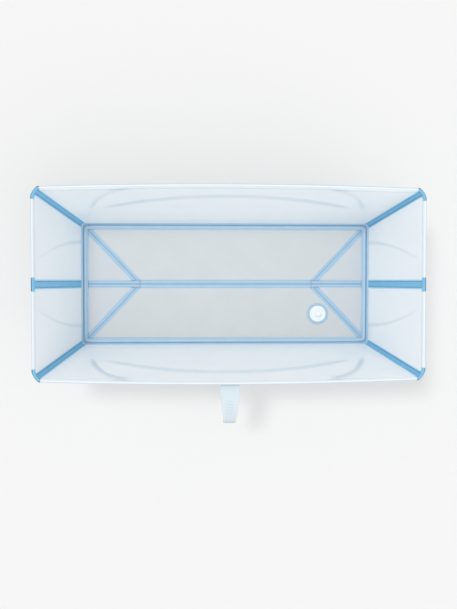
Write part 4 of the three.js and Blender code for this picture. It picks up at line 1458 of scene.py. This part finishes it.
def closure_strap(tub):
    """The band: it narrows to its tip, with raised edges and a frame round its slot"""
    strap = tub.strap
    points, along = strap_line(tub)
    _, pin = strap_pin(tub)
    share = np.linspace(0, 1, len(points))[None, :]
    from_tip = (1 - share) * (strap.run + strap.sag) * STRAP_LENGTH_SHARE
    half = spread(strap.root_width, strap.tip_width, smooth(share * STRAP_TAPER)) / 2
    turn = 1 - np.clip(from_tip / STRAP_TIP_ROUND, 0, 1)
    half = half - STRAP_TIP_INSET * (1 - np.sqrt(np.clip(1 - turn**2, 0, 1)))
    x = np.linspace(-1, 1, STRAP_COLUMNS)[:, None] * half
    normal = np.stack([along[:, 1], -along[:, 0]], axis=1)
    grids = []
    for face in (1, -1):
        line = points + face * normal * strap.thickness / 2
        grid = np.broadcast_arrays(x + pin.x, line[:, 0] + pin.y, line[:, 1] + pin.z)
        grids.append(np.stack(grid, axis=-1))
    border = STRAP_BORDER.at(half - np.abs(x)) * smooth(share / STRAP_BORDER_START)
    border = border * smooth((from_tip - STRAP_BORDER_STOP) / STRAP_BORDER_FADE)
    frame_x = np.abs(x) - strap.slot_width / 2
    frame_y = np.abs(from_tip - strap.slot_from_tip) - strap.slot_length / 2
    lip = SLOT_LIP.at(np.maximum(frame_x, frame_y))
    top, under = embossed(*grids, BORDER_OVER * border + lip, BORDER_UNDER * border)
    # Painted shade in a deep bar near the tip, where the band bends down, and a painted highlight on its
    # raised edges
    tone = np.clip(MIDDLE_TONE + STRAP_TIP_PAINTED_SHADE.at(from_tip) - BORDER_PAINTED_HIGHLIGHT * border, 0, 1)
    band = sheet("closure_band", top, under, finish("strap_rubber"), tone)
    return cut_slot(tub, band, points, along, pin)


def cut_slot(tub, band, points, along, pin):
    """Opens the slot near the tip with a rounded block"""
    strap = tub.strap
    tip, way = points[-1], along[-2]
    centre = tip - way * strap.slot_from_tip
    place = Matrix.Translation(Vector((pin.x, pin.y + centre[0], pin.z + centre[1])))
    place = place @ Matrix.Rotation(math.atan2(way[1], way[0]), 4, "X")
    wide, long = strap.slot_width / 2, strap.slot_length / 2
    corners = [(-wide, -long), (wide, -long), (wide, long), (-wide, long)]
    outline = rounded_outline(corners, SLOT_RADIUS)
    cutter = slab("slot_block", outline, -SLOT_BLOCK, SLOT_BLOCK, finish("strap_rubber"), place=place)
    opened = band.modifiers.new("slot", "BOOLEAN")
    opened.operation = "DIFFERENCE"
    opened.object = cutter
    depsgraph = bpy.context.evaluated_depsgraph_get()
    mesh = bpy.data.meshes.new_from_object(band.evaluated_get(depsgraph), depsgraph=depsgraph)
    band.modifiers.remove(opened)
    bpy.data.objects.remove(cutter)
    band.data = mesh
    mesh.set_sharp_from_angle(angle=SHARP_ANGLE)
    return band


def strap_bar(tub):
    """The root bar, with a thinner journal at both ends"""
    strap = tub.strap
    _, pin = strap_pin(tub)
    half, journal = strap.root_width / 2, strap.root_width / 2 + tub.gap + strap.ear_width
    thick, thin = strap.bar_radius, strap.journal_radius
    profile = [(0, -journal), (thin, -journal), (thin, -half), (thick, -half)]
    profile += [(radius, -z) for radius, z in profile[::-1]]
    profile = softened(profile, radius=0.0008)
    place = Matrix.Translation(pin) @ Matrix.Rotation(math.pi / 2, 4, "Y")
    return turned("strap_root_bar", profile, finish("strap_rubber"), place, steps=40)


def strap_keeper(tub):
    """A plate on the wall with two ears for the root bar"""
    strap = tub.strap
    wall, _ = strap_pin(tub)
    gap, ear, ear_half = tub.gap, strap.ear_width, strap.ear_half
    width, tall = strap.root_width / 2 + gap + ear, strap.keeper_half_height
    material = finish("fitting_plastic")
    corners = [(-width, -tall), (width, -tall), (width, tall), (-width, tall)]
    outline = rounded_outline(corners, radius=0.003)
    flat = wall @ Matrix.Rotation(math.pi / 2, 4, "X")
    pieces = [slab("keeper_plate", outline, gap, gap + strap.plate, material, place=flat)]
    turns = np.radians(np.linspace(-90, 90, 15))
    tip = [(strap.outset + ear_half * math.cos(a), ear_half * math.sin(a)) for a in turns]
    in_plate = gap + strap.plate / 2
    outline = np.array([(in_plate, -ear_half), *tip, (in_plate, ear_half)])
    hole = ring(strap.outset, 0, strap.journal_radius + gap, BORE_POINTS)
    # An ear's own axes: outwards from the wall, up, and along the bath
    axes = wall @ Matrix(((0, 0, 1, 0), (-1, 0, 0, 0), (0, 1, 0, 0), (0, 0, 0, 1)))
    for low in (-width, width - ear):
        ear_piece = slab("keeper_ear", outline, low, low + ear, material, hole, axes, radius=0.0006)
        pieces.append(ear_piece)
    return joined_pieces("strap_keeper_plate", pieces)


def strap_catch(tub):
    """The stud on the rear wall that the strap's slot goes over"""
    catch = tub.strap
    seat, lean = wall_seat(tub, REAR, catch.catch_below_rim)
    place = seat @ Matrix.Rotation(-lean - math.pi / 2, 4, "X")
    stem_top = catch.base + catch.stem
    head_top = stem_top + catch.head
    profile = [
        (0, tub.gap),
        (catch.base_radius, tub.gap),
        (catch.base_radius, catch.base * 0.62),
        (catch.base_radius * 0.84, catch.base),
        (catch.stem_radius, catch.base),
        (catch.stem_radius * 0.9, stem_top),
        (catch.head_radius, stem_top + catch.head * 0.2),
        (catch.head_radius, stem_top + catch.head * 0.7),
        (catch.head_radius * 0.75, head_top),
        (0, head_top),
    ]
    profile = softened(profile, radius=0.0011, steps=5)
    return turned("strap_catch_stud", profile, finish("fitting_plastic"), place)


RIB_SUNK = 0.0002
KNOB_RIBS, KNOB_RIB_SIZE, KNOB_RIB_LEVEL = 20, (0.0005, 0.00045, 0.0013), 0.76
STRAP_RIBS, STRAP_RIB_SIZE, STRAP_RIB_TONE = 5, (0.0095, 0.0009, 0.0006), 0.6
RIBBED_STATIONS = slice(26, 46)


def drain_centre():
    low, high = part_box("drain_seat")
    return Matrix.Translation(Vector(((low.x + high.x) / 2, (low.y + high.y) / 2, 0)))


def drain_seat(tub):
    """A rubber ring in the floor, with a raised lip and a groove round it"""
    drain = tub.drain
    floor = tub.sheet + tub.gap
    top = floor + drain.flange
    sleeve = drain.hole - tub.gap
    middle = (drain.bore + drain.seat) / 2
    foot, edge, mouth = 0.0002, 0.0016, 0.0012
    groove_top, groove_foot, groove = 0.0018, 0.0010, top - 0.0008
    profile = [
        (drain.bore, foot),
        (sleeve, foot),
        (sleeve, floor),
        (drain.seat, floor),
        (drain.seat, floor + drain.flange * 0.55),
        (drain.seat - edge, top - 0.0002),
        (middle + groove_top, top),
        (middle + groove_foot, groove),
        (middle - groove_foot, groove),
        (middle - groove_top, top),
        (drain.bore + mouth, top),
        (drain.bore, top - 0.001),
        (drain.bore, foot),
    ]
    profile = softened(profile, radius=0.0005, steps=3)
    return turned("drain_ring", profile, finish("floor_rubber"), drain_centre(), tone=0.4)


def drain_plug(tub):
    """The stopper: a dished flange, a body under it and a knob on top"""
    drain = tub.drain
    base = tub.sheet + 2 * tub.gap + drain.flange
    foot, top = base - drain.plug_depth, base + drain.plug_flange
    knob_top = top + drain.knob_height
    body, wide = drain.plug_body, drain.plug_radius
    knob, swell = drain.knob_neck, drain.knob_radius
    hollow, dish = foot + 0.0012, top - 0.0009
    profile = [
        (0, hollow),
        (body - 0.004, hollow),
        (body - 0.003, foot),
        (body - 0.001, foot),
        (body, hollow),
        (body, base),
        (wide, base),
        (wide, top - 0.0008),
        (wide - 0.0016, top),
        (wide - 0.0045, top),
        (wide - 0.0060, dish),
        (knob + 0.0035, dish),
        (knob, top + 0.0014),
        (knob * 0.94, spread(top, knob_top, 0.45)),
        (swell, spread(top, knob_top, 0.68)),
        (swell, spread(top, knob_top, 0.86)),
        (swell * 0.72, knob_top),
        (0, knob_top - 0.0003),
    ]
    profile = softened(profile, radius=0.0009, steps=5)
    return turned("drain_stopper", profile, finish("fitting_plastic"), drain_centre())


def knob_ribs(tub):
    """Grip ribs round the knob, one Geometry Nodes run"""
    drain, centre = tub.drain, drain_centre().translation
    base = tub.sheet + 2 * tub.gap + drain.flange
    level = base + drain.plug_flange + drain.knob_height * KNOB_RIB_LEVEL
    around = ring(centre.x, centre.y, drain.knob_radius - RIB_SUNK, KNOB_POINTS)
    path = drawn_path("knob_ribs", [(np.column_stack([around, np.full(len(around), level)]), True)])
    ribs = {"Count": KNOB_RIBS, "Size": KNOB_RIB_SIZE, "Material": finish("fitting_plastic")}
    return grown(path, rib_tree(), MIDDLE_TONE, **ribs)


def strap_ribs(tub):
    """Ribs across the strap's face, for the fingers"""
    points, along = strap_line(tub)
    _, pin = strap_pin(tub)
    normal = np.stack([along[:, 1], -along[:, 0]], axis=1)
    face = (points + normal * (tub.strap.thickness / 2 - RIB_SUNK / 2))[RIBBED_STATIONS]
    line = [(pin.x, pin.y + y, pin.z + z) for y, z in face[::-1]]
    path = drawn_path("strap_ribs", [(line, False)])
    ribs = {"Count": STRAP_RIBS, "Size": STRAP_RIB_SIZE, "Material": finish("strap_rubber")}
    return grown(path, rib_tree(), STRAP_RIB_TONE, **ribs)


def plug_seal(tub):
    """A round rubber ring between the stopper's body and the bore"""
    drain = tub.drain
    section = (drain.bore - drain.plug_body) / 2 - tub.gap
    middle = (drain.bore + drain.plug_body) / 2
    level = (tub.sheet + tub.gap + drain.flange) / 2
    turns = np.linspace(0, 2 * math.pi, 17)
    profile = [(middle + section * math.cos(a), level + section * math.sin(a)) for a in turns]
    profile[-1] = profile[0]
    return turned("seal_ring", profile, finish("hinge_rubber"), drain_centre(), tone=0.8)


# Operators


def between(piece, slot, bodies, start, end, *nodes):
    """For a piece that bends between two bodies: bakes its place into its mesh and hides the parts that
    it stands for
    """
    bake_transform(piece)
    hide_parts(*nodes)


def on_body(piece, slot, body, *nodes):
    """Dresses a piece that rides on one body"""
    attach(piece, body)
    if nodes:
        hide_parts(*nodes)


def foot_bend(tub, side):
    """Where a long wall bends at its foot: the two bodies, the start and the end of the bend"""
    fold = tub.half_width + tub.sheet * tub.strips.fold_share
    in_wall = (0, side * fold, tub.strips.foot_bend_top)
    in_floor = (0, side * (fold - tub.strips.foot_bend), 0)
    if side == FRONT:
        return ("front_wall", "front_floor"), in_wall, in_floor
    return ("rear_floor", "rear_wall"), in_floor, in_wall


GROUND_HALF = 20
GROUND_BELOW = 0.0002
GROUND_GRAIN, GROUND_GRAIN_STRENGTH = 0.01, 0.02
SKY_LIGHT, SKY_SEEN = 0.86, 0.92
LENS, SENSOR = 45.9, 36
CAMERA_PLACE = (-0.0775, 0.0091, 1.8722)
CAMERA_TURN = (-0.0313, -0.0447, 0.0001)


class Lamp(NamedTuple):
    name: str
    energy: float
    spread_degrees: float
    way: tuple


LAMPS = (Lamp("key", 0.74, 12, (0.35, -0.27, -1)), Lamp("fill", 0.5, 70, (-0.35, 0.55, -0.8)))


class TUB_OT_stage(bpy.types.Operator):
    """Make the ground, the light and the camera"""

    bl_idname = "tub.stage"
    bl_label = "Stage"

    def execute(self, context):
        scene = context.scene
        self.make_ground(scene)
        self.make_sky(scene)
        self.make_lamps(scene)
        self.make_camera(scene)
        scene.view_settings.view_transform = "Standard"
        return {"FINISHED"}

    def make_ground(self, scene):
        material, nodes, links = new_material("ground")
        shader = nodes["Principled BSDF"]
        shader.inputs["Base Color"].default_value = linear(scene.tub_colours.ground)
        shader.inputs["Roughness"].default_value = 1
        shader.inputs["Specular IOR Level"].default_value = 0
        add_grain(nodes, links, GROUND_GRAIN, GROUND_GRAIN_STRENGTH)
        mesh = bpy.data.meshes.new("ground")
        signs = ((-1, -1), (1, -1), (1, 1), (-1, 1))
        corners = [(x * GROUND_HALF, y * GROUND_HALF, 0) for x, y in signs]
        mesh.from_pydata(corners, [], [(0, 1, 2, 3)])
        mesh.materials.append(material)
        ground = link_object("ground", mesh)
        ground.location.z = -GROUND_BELOW

    def make_sky(self, scene):
        """A soft white sky that the camera, gloss and clear plastic see a little brighter"""
        world = bpy.data.worlds.new("soft_sky")
        world.use_nodes = True
        nodes, links = world.node_tree.nodes, world.node_tree.links
        path = nodes.new("ShaderNodeLightPath")
        shown = path.outputs["Is Camera Ray"]
        for ray in ("Is Glossy Ray", "Is Transmission Ray"):
            either = nodes.new("ShaderNodeMath")
            either.operation = "MAXIMUM"
            links.new(shown, either.inputs[0])
            links.new(path.outputs[ray], either.inputs[1])
            shown = either.outputs["Value"]
        strength = nodes.new("ShaderNodeMapRange")
        strength.inputs["To Min"].default_value = SKY_LIGHT
        strength.inputs["To Max"].default_value = SKY_SEEN
        sky = nodes["Background"]
        sky.inputs["Color"].default_value = (1, 1, 1, 1)
        links.new(shown, strength.inputs["Value"])
        links.new(strength.outputs["Result"], sky.inputs["Strength"])
        scene.world = world

    def make_lamps(self, scene):
        for name, energy, spread_degrees, way in LAMPS:
            lamp = bpy.data.lights.new(name, "SUN")
            lamp.energy = energy
            lamp.angle = math.radians(spread_degrees)
            light = link_object(name, lamp)
            light.rotation_euler = Vector(way).to_track_quat("-Z", "Y").to_euler()

    def make_camera(self, scene):
        lens = bpy.data.cameras.new("camera")
        lens.lens = LENS
        lens.sensor_width = SENSOR
        camera = link_object("camera", lens)
        camera.location = CAMERA_PLACE
        camera.rotation_euler = CAMERA_TURN
        scene.camera = camera


class TUB_OT_side_walls(bpy.types.Operator):
    """Make the two long walls"""

    bl_idname = "tub.side_walls"
    bl_label = "Long walls"

    def execute(self, context):
        tub = Tub()
        for side, name in SIDE_NAMES.items():
            on_body(side_wall(tub, side), "wall_plastic", f"{name}_wall", f"{name}_wall")
        return {"FINISHED"}


class TUB_OT_end_walls(bpy.types.Operator):
    """Make the four halves of the end walls"""

    bl_idname = "tub.end_walls"
    bl_label = "End walls"

    def execute(self, context):
        tub = Tub()
        for end, side, place in quarters():
            on_body(end_panel(tub, end, side), "wall_plastic", f"end_{place}", f"end_panel_{place}")
        return {"FINISHED"}


class TUB_OT_corner_strips(bpy.types.Operator):
    """Make the four corner strips, each a wall part and a boot"""

    bl_idname = "tub.corner_strips"
    bl_label = "Corner strips"

    def execute(self, context):
        tub = Tub()
        for end, side, place in quarters():
            node = f"corner_strip_{place}"
            bodies = (f"{SIDE_NAMES[side]}_wall", f"end_{place}")
            wall_part = corner_strip(tub, end, side)
            between(wall_part, "hinge_rubber", bodies, *self.wall_bend(tub, end, side), node)
            bodies, start, stop = foot_bend(tub, side)
            between(corner_boot(tub, end, side), "hinge_rubber", bodies, start, stop, node)
        return {"FINISHED"}

    def wall_bend(self, tub, end, side):
        """The wall part bends about the slanting line of the corner"""
        axis = Vector((end * tub.flare_x, side * tub.flare_y, tub.height)).normalized()
        run = Vector((end, -side, 0)).normalized()
        run = (run - axis * run.dot(axis)).normalized()
        foot = Vector((end * tub.half_length, side * tub.half_width, 0))
        reach = tub.strips.corner_bend * run
        return foot - reach, foot + reach


class TUB_OT_crease_strips(bpy.types.Operator):
    """Make the strips up the middle of the end walls"""

    bl_idname = "tub.crease_strips"
    bl_label = "Crease strips"

    def execute(self, context):
        tub = Tub()
        for end, side, place in quarters():
            node = f"crease_strip_{END_NAMES[end]}"
            on_body(crease_leaf(tub, end, side), "hinge_rubber", f"end_{place}", node)
        return {"FINISHED"}


class TUB_OT_edge_strips(bpy.types.Operator):
    """Make the strips round the edge of the floor"""

    bl_idname = "tub.edge_strips"
    bl_label = "Floor-edge strips"

    def execute(self, context):
        tub = Tub()
        for side, name in SIDE_NAMES.items():
            bodies, start, stop = foot_bend(tub, side)
            piece, node = side_edge_strip(tub, side), f"side_edge_strip_{name}"
            between(piece, "hinge_rubber", bodies, start, stop, node)
        for end, side, place in quarters():
            node = f"end_edge_strip_{place}"
            on_body(end_edge_leaf(tub, end, side, "wall"), "hinge_rubber", f"end_{place}", node)
            on_body(end_edge_leaf(tub, end, side, "floor"), "hinge_rubber", f"gusset_{place}", node)
        return {"FINISHED"}


class TUB_OT_floor(bpy.types.Operator):
    """Make the floor panels and the gussets"""

    bl_idname = "tub.floor"
    bl_label = "Floor panels"

    def execute(self, context):
        tub = Tub()
        centre = drain_centre().translation
        hole = ring(centre.x, centre.y, tub.drain.hole, DRAIN_POINTS)
        for side, name in SIDE_NAMES.items():
            piece = floor_panel(tub, side, hole if side == FRONT else None)
            on_body(piece, "floor_plastic", f"{name}_floor", f"floor_panel_{name}")
        for end, side, place in quarters():
            piece, node = floor_gusset(tub, end, side), f"floor_gusset_{place}"
            on_body(piece, "gusset_plastic", f"gusset_{place}", node)
        return {"FINISHED"}


class TUB_OT_floor_strips(bpy.types.Operator):
    """Make the strips on the floor's own folds"""

    bl_idname = "tub.floor_strips"
    bl_label = "Floor strips"

    def execute(self, context):
        tub = Tub()
        half, bodies = tub.strips.centre, ("front_floor", "rear_floor")
        start, stop = (0, -half, 0), (0, half, 0)
        between(centre_strip(tub), "hinge_rubber", bodies, start, stop, "floor_centre_strip")
        for end, side, place in quarters():
            node = f"end_centre_strip_{END_NAMES[end]}"
            on_body(end_centre_leaf(tub, end, side), "hinge_rubber", f"gusset_{place}", node)
            bodies = (f"{SIDE_NAMES[side]}_floor", f"gusset_{place}")
            start, stop = self.diagonal_bend(tub, end, side)
            piece, node = diagonal_strip(tub, end, side), f"diagonal_strip_{place}"
            between(piece, "hinge_rubber", bodies, start, stop, node)
        return {"FINISHED"}

    def diagonal_bend(self, tub, end, side):
        """A diagonal strip bends in its middle only"""
        over_fold = Vector((end * tub.half_width, -side * tub.strips.gusset, 0)).normalized()
        corner = Vector((end * tub.half_length, side * tub.half_width, 0))
        reach = over_fold * tub.strips.diagonal * tub.strips.diagonal_bend
        return corner - reach, corner + reach


class TUB_OT_edge_beads(bpy.types.Operator):
    """Make the soft beads where panels meet strips"""

    bl_idname = "tub.edge_beads"
    bl_label = "Edge beads"

    def execute(self, context):
        tub = Tub()
        for side, name in SIDE_NAMES.items():
            self.dress_wall(tub, f"wall_beads_{name}", side_bead_paths(tub, side), f"{name}_wall")
            self.dress_floor(tub, f"floor_bead_{name}", floor_outline(tub, side), f"{name}_floor")
        for end, side, place in quarters():
            self.dress_wall(tub, f"end_beads_{place}", end_bead_paths(tub, end, side), f"end_{place}")
            outline = gusset_outline(tub, end, side)
            self.dress_floor(tub, f"gusset_bead_{place}", outline, f"gusset_{place}")
        return {"FINISHED"}

    def dress_wall(self, tub, name, paths, body):
        on_body(edge_bead(name, paths, tub.strips.bead, "hinge_rubber"), "hinge_rubber", body)

    def dress_floor(self, tub, name, outline, body):
        piece = edge_bead(name, floor_bead_paths(tub, outline), tub.strips.floor_bead, "floor_rubber")
        on_body(piece, "hinge_rubber", body)


class TUB_OT_drain(bpy.types.Operator):
    """Make the drain seat, the plug and its seal"""

    bl_idname = "tub.drain"
    bl_label = "Drain"

    def execute(self, context):
        tub = Tub()
        on_body(drain_seat(tub), "drain_rubber", "front_floor", "drain_seat")
        on_body(drain_plug(tub), "fitting_plastic", "plug", "drain_plug")
        on_body(knob_ribs(tub), "fitting_plastic", "plug")
        on_body(plug_seal(tub), "drain_rubber", "plug", "plug_seal")
        return {"FINISHED"}


class TUB_OT_strap(bpy.types.Operator):
    """Make the closure strap, its keeper and its catch"""

    bl_idname = "tub.strap"
    bl_label = "Closure strap"

    def execute(self, context):
        tub = Tub()
        on_body(closure_strap(tub), "strap_rubber", "strap", "closure_strap")
        on_body(strap_bar(tub), "strap_rubber", "strap", "closure_strap")
        on_body(strap_ribs(tub), "strap_rubber", "strap")
        on_body(strap_keeper(tub), "fitting_plastic", "front_wall", "strap_keeper")
        on_body(strap_catch(tub), "fitting_plastic", "rear_wall", "strap_catch")
        return {"FINISHED"}


OPERATORS = (
    TUB_OT_stage,
    TUB_OT_side_walls,
    TUB_OT_end_walls,
    TUB_OT_corner_strips,
    TUB_OT_crease_strips,
    TUB_OT_edge_strips,
    TUB_OT_floor,
    TUB_OT_floor_strips,
    TUB_OT_edge_beads,
    TUB_OT_drain,
    TUB_OT_strap,
)


class TUB_PT_panel(bpy.types.Panel):
    """Sizes, colours and buttons in the sidebar"""

    bl_idname = "TUB_PT_panel"
    bl_label = "Foldable bathtub"
    bl_space_type = "VIEW_3D"
    bl_region_type = "UI"
    bl_category = "Bathtub"

    def draw(self, context):
        for name, group in PROPERTY_GROUPS.items():
            box = self.layout.box()
            for field in group.__annotations__:
                box.prop(getattr(context.scene, name), field)
        for operator in OPERATORS:
            self.layout.operator(operator.bl_idname)


CLASSES = (*PROPERTY_GROUPS.values(), *OPERATORS, TUB_PT_panel)


def register():
    for kind in CLASSES:
        bpy.utils.register_class(kind)
    for name, group in PROPERTY_GROUPS.items():
        setattr(bpy.types.Scene, name, bpy.props.PointerProperty(type=group))


def unregister():
    for name in PROPERTY_GROUPS:
        delattr(bpy.types.Scene, name)
    for kind in reversed(CLASSES):
        bpy.utils.unregister_class(kind)


def main():
    register()
    for operator in OPERATORS:
        step = operator.bl_idname.split(".")[1]
        getattr(bpy.ops.tub, step)()


if __name__ == "__main__":
    main()
